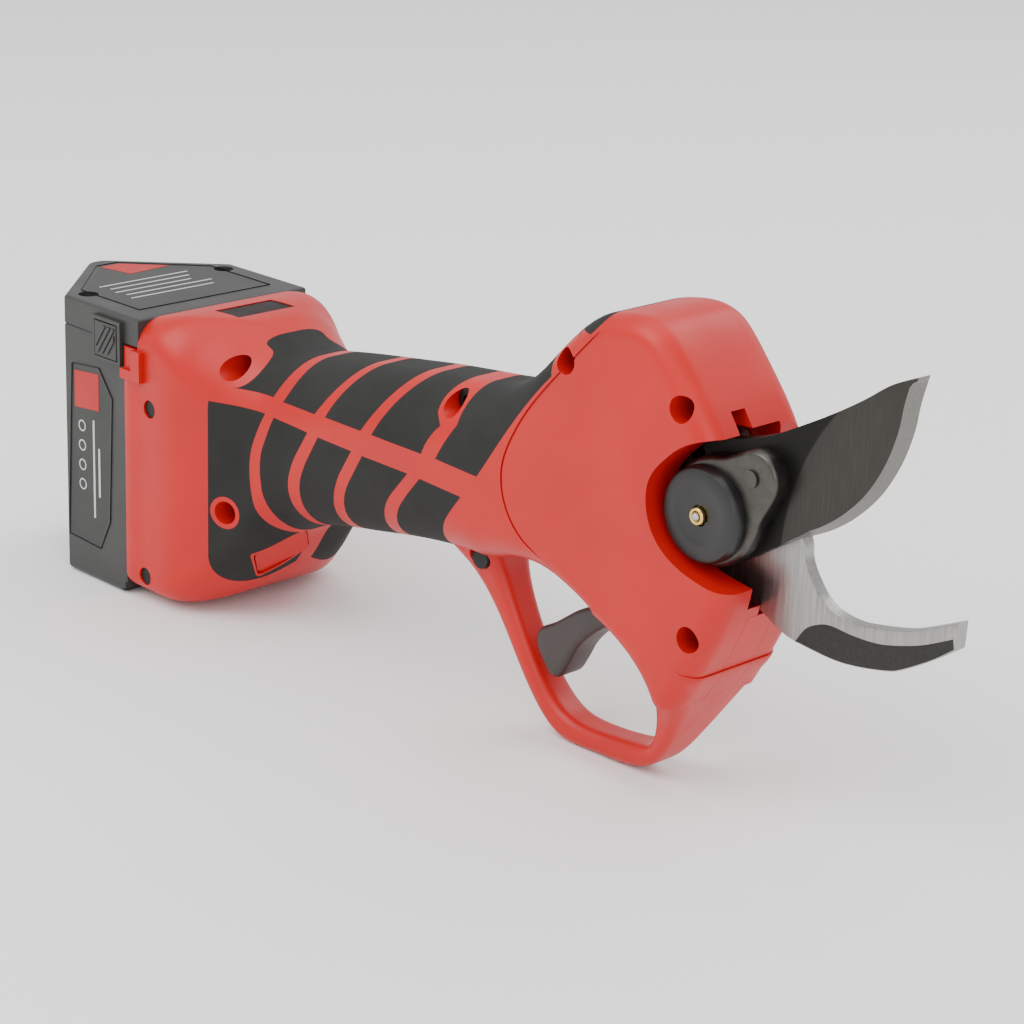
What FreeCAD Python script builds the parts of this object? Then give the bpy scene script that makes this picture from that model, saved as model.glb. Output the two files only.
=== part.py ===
"""Battery pruner, built piece by piece. Millimetres, X from battery to blade, Z up."""
import FreeCAD, Part
import math
import os

V = FreeCAD.Vector
os.makedirs("parts", exist_ok=True)

# ---- driving dimensions ------------------------------------------------------
WALL = 2.4                   # housing wall
JOIN_X = 20.0                # plane where the battery case meets the housing
CAP_FRONT = 25.4             # front edge of the battery cap, over the housing
HEAD_X = 174.0               # plane where the tapered body meets the straight head block
HEAD_NEAR = -17.5            # side faces of the head
HEAD_FAR = 12.0
BATTERY_HALF = 26.7
BATTERY_HEIGHT = 73.4
CAP_HEIGHT = 7.4
PIVOT_X, PIVOT_Z = 201.2, 67.7
BLADE_NEAR, BLADE_FAR = -8.0, -4.35
HOOK_NEAR, HOOK_FAR = -4.2, -1.2
GUARD_MID = -2.75            # the guard and trigger lie on the middle of the head
GUARD_HALF = 4.5
AXIS_TILT = math.radians(8.9)  # drive axis climbs towards the pivot
AXIS_Z0 = 49.3               # height of the drive axis at AXIS_X0
AXIS_X0 = 71.0
BLADE_SWING = math.radians(52.0)
CRANK = 13.0                 # pivot to crank pin
RUB = 1.1                    # depth of the rubber panels

CHASSIS_NEAR, CHASSIS_FAR = -1.15, 1.25
LINK_NEAR, LINK_FAR = 1.6, 3.6
DRIVE_R = 13.5               # motor and gearbox
TRIGGER_PIVOT = (180.0, 42.0)
TRIGGER_PIN = (-11.0, 5.5)
NUT_REST = 140.0             # rear face of the screw nut along the drive axis

# teeth of the single-stage planetary gearbox
MODULE = 0.45
SUN_TEETH, PLANET_TEETH, RING_TEETH = 15, 18, 51

# body stations: x, top, bottom, near half width, far half width, top and bottom corner radius
STATIONS = [
    (20.0, 72.2, 2.6, 27.0, 27.0, 7.0, 4.0),
    (25.0, 73.2, 2.4, 27.0, 27.0, 7.5, 4.0),
    (31.0, 74.5, 2.2, 27.0, 27.0, 9.0, 4.2),
    (38.0, 74.8, 2.3, 26.6, 26.6, 13.0, 5.5),
    (43.0, 74.6, 3.2, 24.9, 24.9, 17.0, 8.5),
    (47.5, 73.9, 5.3, 23.0, 23.0, 18.5, 12.0),
    (51.5, 72.3, 8.2, 21.6, 21.6, 18.8, 13.5),
    (55.5, 70.7, 12.2, 20.4, 20.4, 18.4, 14.5),
    (59.5, 69.6, 17.2, 19.5, 19.5, 17.6, 15.0),
    (63.5, 69.3, 23.2, 18.9, 18.9, 16.8, 15.2),
    (68.0, 69.8, 26.8, 18.5, 18.5, 16.0, 15.4),
    (74.0, 70.8, 28.6, 18.1, 18.1, 15.6, 15.5),
    (82.0, 72.0, 30.4, 18.0, 18.0, 15.5, 15.5),
    (93.0, 73.5, 32.3, 18.0, 18.0, 15.5, 15.5),
    (105.0, 75.2, 34.4, 18.0, 17.8, 15.5, 15.5),
    (117.0, 76.7, 36.2, 18.0, 17.0, 15.3, 15.0),
    (127.0, 77.9, 37.4, 17.9, 15.8, 14.6, 13.5),
    (134.5, 79.0, 38.4, 17.8, 14.6, 13.4, 11.5),
    (140.5, 80.9, 40.3, 17.6, 13.6, 12.2, 9.5),
    (146.5, 84.3, 42.2, 17.5, 12.8, 11.0, 7.5),
    (152.4, 89.0, 43.0, 17.5, 12.3, 9.8, 6.5),
    (158.0, 94.3, 42.7, 17.5, 12.0, 8.4, 5.8),
    (163.5, 99.2, 41.6, 17.5, 12.0, 7.0, 4.8),
    (169.0, 103.0, 39.6, 17.5, 12.0, 5.7, 4.4),
    (174.0, 105.0, 36.8, 17.5, 12.0, 5.6, 4.1),
]


# ---- small shape helpers -------------------------------------------------------
def save(name, shape):
    """Write one piece, or a group of like pieces, to its own file."""
    shape.exportStep(f"parts/{name}.step")


def group(shapes):
    return Part.makeCompound(shapes)


def block(x0, x1, y0, y1, z0, z1):
    return Part.makeBox(x1 - x0, y1 - y0, z1 - z0, V(x0, y0, z0))


def rod(start, direction, radius, length):
    return Part.makeCylinder(radius, length, start, direction)


def tube(start, direction, outer, inner, length):
    return rod(start, direction, outer, length).cut(rod(start, direction, inner, length))


def across(x, z, radius, y0, y1):
    """Round bar along Y."""
    return rod(V(x, y0, z), V(0, 1, 0), radius, y1 - y0)


def outline(parts):
    """Closed wire in the XZ plane. A point is a corner; a list of points is a smooth run."""
    edges = []
    flat = []
    for part in parts:
        flat.append(part if isinstance(part, list) else [part])
    count = len(flat)
    for i in range(count):
        run = [V(x, 0, z) for x, z in flat[i]]
        if len(run) > 1:
            curve = Part.BSplineCurve()
            curve.interpolate(run)
            edges.append(curve.toShape())
        nxt = V(flat[(i + 1) % count][0][0], 0, flat[(i + 1) % count][0][1])
        if run[-1].distanceToPoint(nxt) > 1e-6:
            edges.append(Part.LineSegment(run[-1], nxt).toShape())
    return Part.Wire(edges)


def plate(parts, y0, y1):
    """Solid between y0 and y1 with the given XZ outline."""
    face = Part.Face(outline(parts))
    face.translate(V(0, y0, 0))
    return face.extrude(V(0, y1 - y0, 0))


def fillet_edges(solid, radius, pick):
    """Round the edges that pick(edge) accepts."""
    return solid.makeFillet(radius, [e for e in solid.Edges if pick(e)])


def lies_at_y(value):
    def pick(edge):
        box = edge.BoundBox
        return abs(box.YMin - value) < 1e-4 and abs(box.YMax - value) < 1e-4
    return pick


def rounded_wire(y0, y1, z0, z1, high, low, place):
    """Rounded rectangle of 4 sides and 4 arcs, mapped to 3D by place(y, z)."""
    corners = [(y1, z1, 0, high), (y0, z1, 90, high), (y0, z0, 180, low), (y1, z0, 270, low)]
    runs = []
    for y, z, start, radius in corners:
        cy = y - radius if start in (0, 270) else y + radius
        cz = z - radius if start in (0, 90) else z + radius
        run = []
        for turn in (0, 45, 90):
            angle = math.radians(start + turn)
            run.append(place(cy + radius * math.cos(angle), cz + radius * math.sin(angle)))
        runs.append(run)
    edges = []
    for i in range(4):
        edges.append(Part.Arc(*runs[i]).toShape())
        edges.append(Part.LineSegment(runs[i][2], runs[(i + 1) % 4][0]).toShape())
    return Part.Wire(edges)


def body_loft(inset, first=0, last=None):
    """Skin through the body stations, moved inwards by inset."""
    wires = []
    for x, top, bottom, near, far, high, low in STATIONS[first:last]:
        wires.append(rounded_wire(-near + inset, far - inset, bottom + inset, top - inset,
                                  max(high - inset, 1.5), max(low - inset, 1.5),
                                  lambda y, z, x=x: V(x, y, z)))
    return Part.makeLoft(wires, True, False)


# ---- drive axis ------------------------------------------------------------------
AXIS = V(math.cos(AXIS_TILT), 0, math.sin(AXIS_TILT))
AXIS_UP = V(-math.sin(AXIS_TILT), 0, math.cos(AXIS_TILT))


def on_axis(along, up=0.0, y=0.0):
    """Point at a distance along the drive axis from x = 0."""
    z0 = AXIS_Z0 - AXIS_X0 * math.tan(AXIS_TILT)
    return V(0, y, z0) + AXIS * along + AXIS_UP * up


def gear(teeth, outside, length, thin=0.40):
    """Straight gear on the Z axis. Teeth stand out of a root circle, or into a ring."""
    pitch = MODULE * teeth / 2
    step = 2 * math.pi / teeth
    sign = 1 if outside else -1
    tip = pitch + sign * 0.72 * MODULE
    root = pitch - sign * 1.1 * MODULE
    pts = []
    for k in range(teeth):
        mid = k * step
        for angle, r in ((-thin * 0.66, root), (-thin * 0.28, tip), (thin * 0.28, tip), (thin * 0.66, root)):
            a = mid + angle * step
            pts.append(V(r * math.cos(a), r * math.sin(a), 0))
    pts.append(pts[0])
    return Part.Face(Part.makePolygon(pts)).extrude(V(0, 0, length))


def on_drive(shape, along, radial=0.0, angle=0.0, spin=0.0):
    """Place a piece made on the Z axis on the drive axis, offset at an angle round it."""
    shape = shape.copy()
    shape.rotate(V(0, 0, 0), V(0, 0, 1), math.degrees(spin))
    shape.translate(V(radial * math.cos(angle), radial * math.sin(angle), 0))
    turn = FreeCAD.Rotation(V(0, -1, 0), AXIS_UP, AXIS, "ZXY")
    shape.Placement = FreeCAD.Placement(on_axis(along), turn).multiply(shape.Placement)
    return shape


# ---- outer body -------------------------------------------------------------------
HEAD_FRONT = [(174.0, 105.0), (179.0, 105.9), (184.5, 105.9), (188.6, 104.5), (192.6, 101.2),
              (197.5, 95.6), (204.6, 86.4), (209.6, 76.0), (211.6, 66.0), (211.8, 56.0),
              (210.6, 49.0), (208.4, 42.5), (205.4, 36.0), (202.0, 29.5), (198.6, 23.6)]
HEAD_BACK = [(192.0, 21.8), (189.4, 26.4), (184.4, 31.2), (179.0, 34.6), (174.0, 36.8)]
POCKET = [(204.8, 84.9), (198.2, 82.4), (192.4, 77.6), (189.0, 72.9), (188.4, 68.0),
          (189.8, 63.0), (193.4, 58.6), (200.1, 55.2), (207.4, 53.6)]


def head_block():
    """Straight front of the head, before the blade pocket is cut."""
    solid = plate([HEAD_FRONT, HEAD_BACK], HEAD_NEAR, HEAD_FAR)

    def front_edge(edge):
        box = edge.BoundBox
        return (lies_at_y(HEAD_NEAR)(edge) or lies_at_y(HEAD_FAR)(edge)) and box.XMax > 205

    def chin_edge(edge):
        box = edge.BoundBox
        return ((lies_at_y(HEAD_NEAR)(edge) or lies_at_y(HEAD_FAR)(edge))
                and box.XMin < 180 and 188 < box.XMax < 200)
    solid = fillet_edges(solid, 4.9, front_edge)
    return fillet_edges(solid, 3.5, chin_edge)


def guard_stations():
    """Inner point, outer point, near and far side, corner radius, from the chin to the handle."""
    near = GUARD_MID - GUARD_HALF
    far = GUARD_MID + GUARD_HALF
    return [
        ((180.5, 37.5), (203.6, 31.8), HEAD_NEAR, HEAD_FAR, 5.0),
        ((184.6, 32.2), (201.6, 28.2), -17.0, 11.6, 5.0),
        ((186.9, 26.6), (197.6, 22.2), -14.6, 9.6, 4.4),
        ((187.4, 19.2), (194.0, 16.6), -11.2, 6.6, 2.6),
        ((185.8, 12.4), (190.2, 10.6), -9.0, 4.2, 2.0),
        ((183.0, 8.0), (184.8, 4.0), -7.8, 2.4, 2.0),
        ((176.0, 6.2), (177.0, 0.6), near, far, 2.4),
        ((165.0, 5.3), (165.0, 0.0), near, far, 2.4),
        ((156.5, 6.4), (154.6, 0.6), near, far, 2.4),
        ((150.0, 11.0), (146.8, 6.4), near, far, 2.4),
        ((143.2, 20.2), (138.6, 17.3), near, far, 2.4),
        ((138.3, 29.4), (132.0, 26.6), near - 0.3, far + 0.3, 2.6),
        ((136.0, 36.5), (125.6, 34.4), near - 2.2, far + 1.4, 3.6),
        ((135.0, 42.0), (118.0, 41.0), near - 5.0, far + 3.5, 5.0),
    ]


def guard_loft():
    """Finger guard: a rounded bar from the chin, under the finger and up to the handle."""
    wires = []
    for (ix, iz), (ox, oz), near, far, radius in guard_stations():
        outer = V(ox, 0, oz)
        span = V(ix, 0, iz) - outer
        depth = span.Length
        inward = span.normalize()

        def place(y, t, outer=outer, inward=inward):
            return outer + inward * t + V(0, y, 0)
        radius = min(radius, depth * 0.48)
        wires.append(rounded_wire(near, far, 0.0, depth, radius, radius, place))
    return Part.makeLoft(wires, True, False)


# ---- housing --------------------------------------------------------------------------
# screw towers: x, z, and where the screw head sits
TOWERS = [(51.5, 65.4), (52.6, 29.6), (125.2, 73.4), (163.2, 92.6), (196.7, 89.9), (202.0, 41.0)]
HEAD_SEAT = -7.0             # y of the seat under each screw head
SCREW_R, SCREW_HEAD_R = 1.45, 2.75
MOUNT_SCREWS = [(30.0, 51.6), (27.6, 7.2)]
GUARD_SCREW = (131.4, 37.6)
SEAM_Z = 21.4                # guard and housing meet here under the chin


def outer_shape():
    """Whole closed outside of the housing, without the guard."""
    under_seam = block(160, 230, -30, 30, -20, SEAM_Z)
    upper_guard = guard_loft().common(block(170, 230, -30, 30, SEAM_Z, 60))
    shape = body_loft(0.0).fuse(head_block()).fuse(upper_guard).cut(under_seam)
    cap_room = block(JOIN_X - 5, CAP_FRONT, -40, 40, BATTERY_HEIGHT - CAP_HEIGHT - 0.3, 90)
    return shape.cut(cap_room).removeSplitter()


def cavity():
    """Room inside the housing for the drive."""
    room = body_loft(WALL).fuse(block(JOIN_X - 1, JOIN_X + 1, -24.6, 24.6, 5.2, 64.5))
    head = plate([[(173.9, 102.3), (179.5, 103.2), (185.0, 102.6), (190.6, 97.6), (197.6, 88.4)],
                  [(194.6, 86.6), (189.0, 80.4), (185.6, 74.4), (185.0, 68.0), (186.6, 61.6),
                   (191.0, 55.6), (198.6, 52.0)],
                  (204.6, 50.6), (205.6, 47.6), (200.0, 35.0), (196.2, 28.4),
                  [(189.6, 31.4), (184.2, 35.2), (179.0, 38.0), (173.9, 39.6)]],
                 HEAD_NEAR + WALL, HEAD_FAR - WALL)
    roof = block(0, JOIN_X + 7.5, -40, 40, BATTERY_HEIGHT - CAP_HEIGHT - 2.7, 90)
    return room.cut(roof).fuse(head)


def strip_room(grow=0.0):
    """Space of the guard's centre strip between the two halves of the chin."""
    near = GUARD_MID - GUARD_HALF - grow
    far = GUARD_MID + GUARD_HALF + grow
    return plate([(194.0 - grow, SEAM_Z), (230.0, SEAM_Z), (230.0, 45.6 + grow), (205.4 - grow, 45.6 + grow),
                  [(204.8 - grow, 42.6), (203.6 - grow, 38.9), (201.4 - grow, 33.9), (198.4 - grow, 28.4),
                   (194.0 - grow, SEAM_Z)]], near, far)


def pocket_cut():
    """Knob and blade pocket: open to the front on the near side, slots for the blades inside."""
    near = plate([POCKET, (230.0, 50.0), (230.0, 84.9)], -40.0, 0.0)
    far = plate([(205.6, 86.0), (205.6, 54.0), (230.0, 52.0), (230.0, 84.0)], -1.0, 40.0)
    sweep = across(PIVOT_X, PIVOT_Z, 21.6, BLADE_NEAR - 0.5, BLADE_FAR + 0.1)
    root = plate([(174.0, 48.0), (186.0, 47.0), (212.0, 43.6), (230.0, 43.6), (230.0, 84.0),
                  (186.0, 84.0), (174.0, 80.0)], HOOK_NEAR - 0.1, CHASSIS_FAR + 0.1)
    links = plate([(180.0, 68.0), (209.0, 73.0), (212.0, 86.0), (180.0, 84.0)], -4.3, LINK_FAR + 0.5)
    nut = across(PIVOT_X, PIVOT_Z, 8.4, CHASSIS_FAR, 40.0)
    return [near, far, sweep, root, links, nut]


def trigger_slot():
    """Mouth under the head that the trigger swings in."""
    return plate([(161.0, 34.0), (172.0, 26.0), (187.0, 36.0), (187.5, 46.5), (176.0, 52.0),
                  (163.0, 49.0)], GUARD_MID - 5.2, GUARD_MID + 5.2)


def panel_line():
    """Shallow groove that rings the side of the head."""
    run = [(184.6, 109.0), (179.0, 106.0), (167.6, 95.6), (156.5, 83.9), (146.8, 69.6), (144.9, 62.3),
           (146.6, 55.8), (151.3, 50.0), (157.2, 46.9), (166.0, 42.2)]
    curve = Part.BSplineCurve()
    curve.interpolate([V(x, 0, z) for x, z in run])
    spots = [curve.value(curve.LastParameter * i / 14) for i in range(15)]
    ways = [V(*curve.tangent(curve.LastParameter * i / 14)[0]) for i in range(15)]
    left = [(p.x - 0.28 * t.z, p.z + 0.28 * t.x) for p, t in zip(spots, ways)]
    right = [(p.x + 0.28 * t.z, p.z - 0.28 * t.x) for p, t in zip(spots, ways)]
    return plate([left, right[::-1]], HEAD_NEAR - 1.0, HEAD_NEAR + 0.45)


def cradles():
    """Ribs that clamp the motor and the gearbox."""
    rings = []
    for along in (68.0, 90.0, 112.0):
        rings.append(tube(on_axis(along), AXIS, 18.5, DRIVE_R + 0.02, 3.0))
    return rings


def inner_ribs(side):
    """Bosses and ribs of one half, before the towers are drilled."""
    ribs = [across(x, z, 3.9, -30.0 if side < 0 else 0.0, 0.0 if side < 0 else 30.0) for x, z in TOWERS]
    ribs += cradles()
    if side < 0:
        ribs.append(across(*TRIGGER_PIVOT, 4.2, HEAD_NEAR + 1, GUARD_MID - 5.2))
        ribs.append(block(165.5, 172.5, HEAD_NEAR + 1, -1.5, 50.0, 52.0))    # seat of the trigger spring
        ribs.append(block(168.0, 176.0, HEAD_NEAR + 1, -10.5, 41.0, 47.0))   # seat of the trigger sensor
        ribs.append(rod(BUTTON_AT - BUTTON_OUT * 9.5, BUTTON_OUT * -1, 2.2, 7.0))  # behind the switch
    else:
        ribs.append(across(*TRIGGER_PIVOT, 4.2, GUARD_MID + 5.2, HEAD_FAR - 1))
    return ribs


def latch_hook(side):
    """Small hook on the rim of the housing, beside the battery latch."""
    near, far = (-28.4, -26.0) if side < 0 else (26.0, 28.4)
    upright = block(24.3, 27.8, near, far, 58.0, CASE_TOP - 0.3)
    foot = block(JOIN_X, 27.8, near, far, 57.8, 60.3)
    return upright.fuse(foot)


def guard_tab(grow):
    """Tab of the near half that the guard is screwed to."""
    return block(128.4 - grow, 134.2 + grow, -4.2 - grow, -0.2 + grow, 34.2 - grow, 42.0)


def trigger_sensor_room():
    """Space of the sensor beside the trigger, which the near half is relieved for."""
    return block(168.0, 176.0, -10.5, -8.9, 41.0, 47.0)


def build_housing():
    """Both half shells. Also returns the closed outside shape."""
    outside = outer_shape()
    shell = outside.cut(cavity())
    window = display_room(0.0)
    button = button_plug(0.3, -5.9, 5.0)
    cable = sensor_run(0.4)
    openings = [strip_room(0.08), trigger_slot(), window, button, cable] + pocket_cut()
    pin = across(*TRIGGER_PIVOT, 1.5, TRIGGER_PIN[0], TRIGGER_PIN[1])
    openings.append(pin)
    halves = {}
    for side, name in ((-1, "housing_right"), (1, "housing_left")):
        space = block(0, 240, -40, 0, -10, 130) if side < 0 else block(0, 240, 0, 40, -10, 130)
        half = shell.common(space)
        ribs = Part.makeCompound(inner_ribs(side)).common(outside).common(space)
        half = half.fuse(ribs.Solids)
        for tool in openings:
            half = half.cut(tool)
        half = half.fuse(latch_hook(side))
        holes = []
        if side < 0:
            half = half.fuse(guard_tab(0.0).cut(cavity_floor()))
            half = half.cut(panel_line())
            holes.append(across(*GUARD_SCREW, 1.5, -12.0, 0.0))
            holes.append(across(*GUARD_SCREW, 2.6, -20.0, -8.55))
            half = half.cut(trigger_sensor_room())
            for x, z in TOWERS:
                holes.append(across(x, z, SCREW_HEAD_R + 0.15, -40, HEAD_SEAT))
                holes.append(across(x, z, SCREW_R + 0.15, -12, 1))
        else:
            for x, z in TOWERS:
                holes.append(across(x, z, SCREW_R + 0.03, -1, 8.0))
        for x, z in MOUNT_SCREWS:
            outer, inner = (-40.0, -25.4) if side < 0 else (25.4, 40.0)
            holes.append(across(x, z, 2.3, outer, inner))
            holes.append(across(x, z, 1.35, *((-26.0, -20.0) if side < 0 else (20.0, 26.0))))
        half = half.cut(Part.makeCompound(holes))
        halves[name] = half
    return outside, halves


def cavity_floor():
    """Inner side of the handle floor, where the guard tab must not stand in the drive space."""
    return block(120.0, 140.0, -10.0, 10.0, 41.0, 60.0)


def rubber_outlines():
    """Side view of the rubber panels, upper row then lower row, from the battery end."""
    upper = [
        [[(53.2, 74.0), (53.0, 70.6), (56.6, 68.6), (57.4, 65.4), (56.0, 62.6), (53.0, 61.2)],
         [(65.2, 61.2), (66.4, 66.0), (66.6, 74.0)]],
        [[(69.6, 74.0), (70.6, 68.0), (69.2, 61.0)], [(81.3, 61.0), (84.4, 66.0), (88.4, 74.0)]],
        [[(92.4, 76.0), (88.4, 68.0), (85.2, 61.2)], [(98.3, 61.2), (102.4, 67.6), (108.2, 78.0)]],
        [[(112.0, 78.0), (106.6, 69.0), (102.2, 61.2)], [(119.4, 61.0), (121.0, 64.4), (124.2, 68.6)],
         [(121.6, 71.0), (121.0, 75.0), (123.4, 79.0)]],
        [[(128.6, 80.0), (129.0, 77.6), (129.2, 74.6)], [(129.4, 70.0), (124.0, 61.0)],
         [(137.4, 60.2), (142.4, 67.4), (150.6, 78.6), (159.4, 88.4)],
         [(158.6, 91.0), (159.0, 94.4), (161.0, 99.0)], (150.0, 99.0)],
        [[(164.4, 101.0), (166.4, 97.4)], [(168.0, 98.2), (173.0, 103.4), (175.0, 110.0)], (165.0, 110.0)],
    ]
    lower = [
        [[(45.0, 57.4), (64.2, 57.2)], [(61.0, 49.6), (59.8, 41.0), (61.2, 33.4), (66.0, 22.0)],
         (66.0, 0.0), (45.0, 0.0)],
        [[(67.4, 57.0), (79.6, 56.2)], [(75.4, 49.6), (72.9, 43.2), (72.3, 36.4), (74.0, 24.0)],
         [(65.4, 24.0), (64.6, 34.0), (63.2, 41.4), (64.4, 49.8)]],
        [[(83.4, 56.0), (95.4, 55.6)], [(91.2, 48.8), (88.2, 41.4), (86.6, 35.0), (87.4, 26.0)],
         [(75.6, 26.0), (75.8, 36.0), (76.8, 42.8), (79.6, 49.6)]],
        [[(99.2, 55.4), (115.0, 55.2)], [(108.4, 47.6), (104.6, 41.0), (103.0, 35.4), (103.4, 28.0)],
         [(90.4, 28.0), (90.2, 35.2), (91.4, 40.6), (95.0, 48.4)]],
        [[(119.0, 55.0), (132.6, 54.2)], [(128.0, 48.2), (124.4, 42.4), (122.6, 36.6), (122.8, 28.0)],
         [(106.8, 28.0), (106.6, 35.0), (108.4, 40.8), (112.6, 47.4)]],
    ]
    return upper + lower


BUTTON_AT = V(58.9, -8.6, 18.9)      # power button, on the chin of the battery socket
BUTTON_OUT = V(0.79, -0.24, -0.565).normalize()
BUTTON_LONG = V(8.0, 11.5, 8.0)


def button_plug(grow, depth0, depth1):
    """Slanted four-sided plug along the button's own travel."""
    along = (BUTTON_LONG - BUTTON_OUT * BUTTON_LONG.dot(BUTTON_OUT)).normalize()
    side = BUTTON_OUT.cross(along).normalize()
    half_long, half_wide, lean = 8.2 + grow, 4.0 + grow, 2.2
    corners = [(-half_long + lean, half_wide), (half_long, half_wide),
               (half_long - lean, -half_wide), (-half_long, -half_wide)]
    pts = [BUTTON_AT + BUTTON_OUT * depth0 + along * a + side * b for a, b in corners]
    plug = Part.Face(Part.makePolygon(pts + pts[:1])).extrude(BUTTON_OUT * (depth1 - depth0))
    return plug.makeFillet(1.2, [e for e in plug.Edges if abs(e.tangentAt(0).dot(BUTTON_OUT)) > 0.99])


def build_rubber(outside):
    """Rubber panels moulded into the handle, and the same panels as recesses."""
    skin = outside.common(block(44, 176, -40, 40, 0, 120)).cut(body_loft(RUB))
    skin = skin.cut(block(166, 180, -40, 40, 0, 100))
    rings = [across(x, z, 4.1, -40, 40) for x, z in TOWERS]
    panels = {}
    for side, name in ((-1, "grip_rubber_right"), (1, "grip_rubber_left")):
        rear = Part.makeBox(200, 400, 200, V(0, -200, -40))
        rear.rotate(V(0, 0, 0), V(0, 0, 1), -math.degrees(math.atan2(0.45, 1.0)))
        rear.translate(V(58.2, 0, 0))
        if side > 0:
            rear = rear.mirror(V(0, 0, 0), V(0, 1, 0))
        solids = []
        for run in rubber_outlines():
            y0, y1 = (-40.0, 0.0) if side < 0 else (0.0, 40.0)
            cutter = plate(run, y0, y1)
            piece = skin.common(cutter)
            if run[0][0][0] < 46:
                mid = block(0, 300, -2.4, 2.4, -10, 60)
                piece = piece.common(rear).cut(mid)
            piece = piece.cut(Part.makeCompound(rings + [button_plug(0.9, -8.0, 8.0)]))
            solids += [s for s in piece.Solids if s.Volume > 3.0]
        panels[name] = solids
    return panels


def display_room(gap):
    """Window in the roof of the base, wider towards its front edge."""
    face = [V(33.8 + gap, -9.6 + gap, 60), V(42.2 - gap, -8.6 + gap, 60), V(42.2 - gap, 9.2 - gap, 60),
            V(33.8 + gap, 8.2 - gap, 60)]
    return Part.Face(Part.makePolygon(face + face[:1])).extrude(V(0, 0, 30))


def run_of(points, radius):
    """Round lead through the points, with a ball at each bend."""
    shape = None
    for a, b in zip(points, points[1:]):
        length = (b - a).Length
        piece = rod(a, b - a, radius, length)
        shape = piece if shape is None else shape.fuse(piece)
    for p in points[1:-1]:
        shape = shape.fuse(Part.makeSphere(radius, p))
    return shape


def sensor_run(grow):
    """Lead of the trigger sensor, along the lower near corner of the handle."""
    points = [V(169.0, -9.7, 44.0), V(152.0, -12.0, 47.0), V(120.0, -12.0, 45.0), V(62.0, -12.0, 38.5),
              V(45.0, -12.0, 36.0), V(BOARD_FRONT - 0.5, -12.0, 36.0)]
    return run_of(points, 0.8 + grow)


# ---- battery ------------------------------------------------------------------------------
def battery_prism(inset, z0, z1, front=JOIN_X - 0.2):
    """Battery section seen from above: a box with a blunt wedge at the back."""
    half = BATTERY_HALF - inset
    slant = inset * math.sqrt(2.0)
    apex_r = 5.0 - min(inset, 3.0)
    corner_x = -5.3 + slant - inset
    tip_x = -32.0 + slant + 1.2
    pts = [V(front - inset, -half, z0), V(corner_x, -half, z0), V(tip_x, 0, z0), V(corner_x, half, z0),
           V(front - inset, half, z0)]
    solid = Part.Face(Part.makePolygon(pts + pts[:1])).extrude(V(0, 0, z1 - z0))

    def upright(edge):
        box = edge.BoundBox
        return box.ZLength > (z1 - z0) * 0.9 and box.XMax < tip_x + 0.1
    return fillet_edges(solid, apex_r, upright)


CELL_SPOTS = [(3.6, 9.7), (3.6, -9.7), (-12.9, 0.0)]
CELL_R = 9.15
CELL_Z = 2.6
CELL_LEN = 65.2
CASE_TOP = BATTERY_HEIGHT - CAP_HEIGHT
CAP_SCREWS = [(-2.0, 21.6), (-2.0, -21.6)]
RAIL_Y = 14.0
PAD_Y = (-7.5, -2.5, 2.5, 7.5)
LATCH_BOX = (9.2, 18.0, 61.4, 70.2)      # x and z limits of the latch pads


def rail(y, grow, z0, z1):
    """T-shaped rail on the mount plate, or its groove when grown."""
    neck = block(17.6 - grow, JOIN_X + 0.2, y - 1.5 - grow, y + 1.5 + grow, z0, z1)
    head = block(16.2 - grow, 18.0 + grow, y - 2.6 - grow, y + 2.6 + grow, z0, z1)
    return neck.fuse(head)


def latch_window(grow, y0, y1):
    x0, x1, z0, z1 = LATCH_BOX
    return block(x0 - grow, x1 + grow, y0, y1, z0 - grow, z1 + grow)


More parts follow.
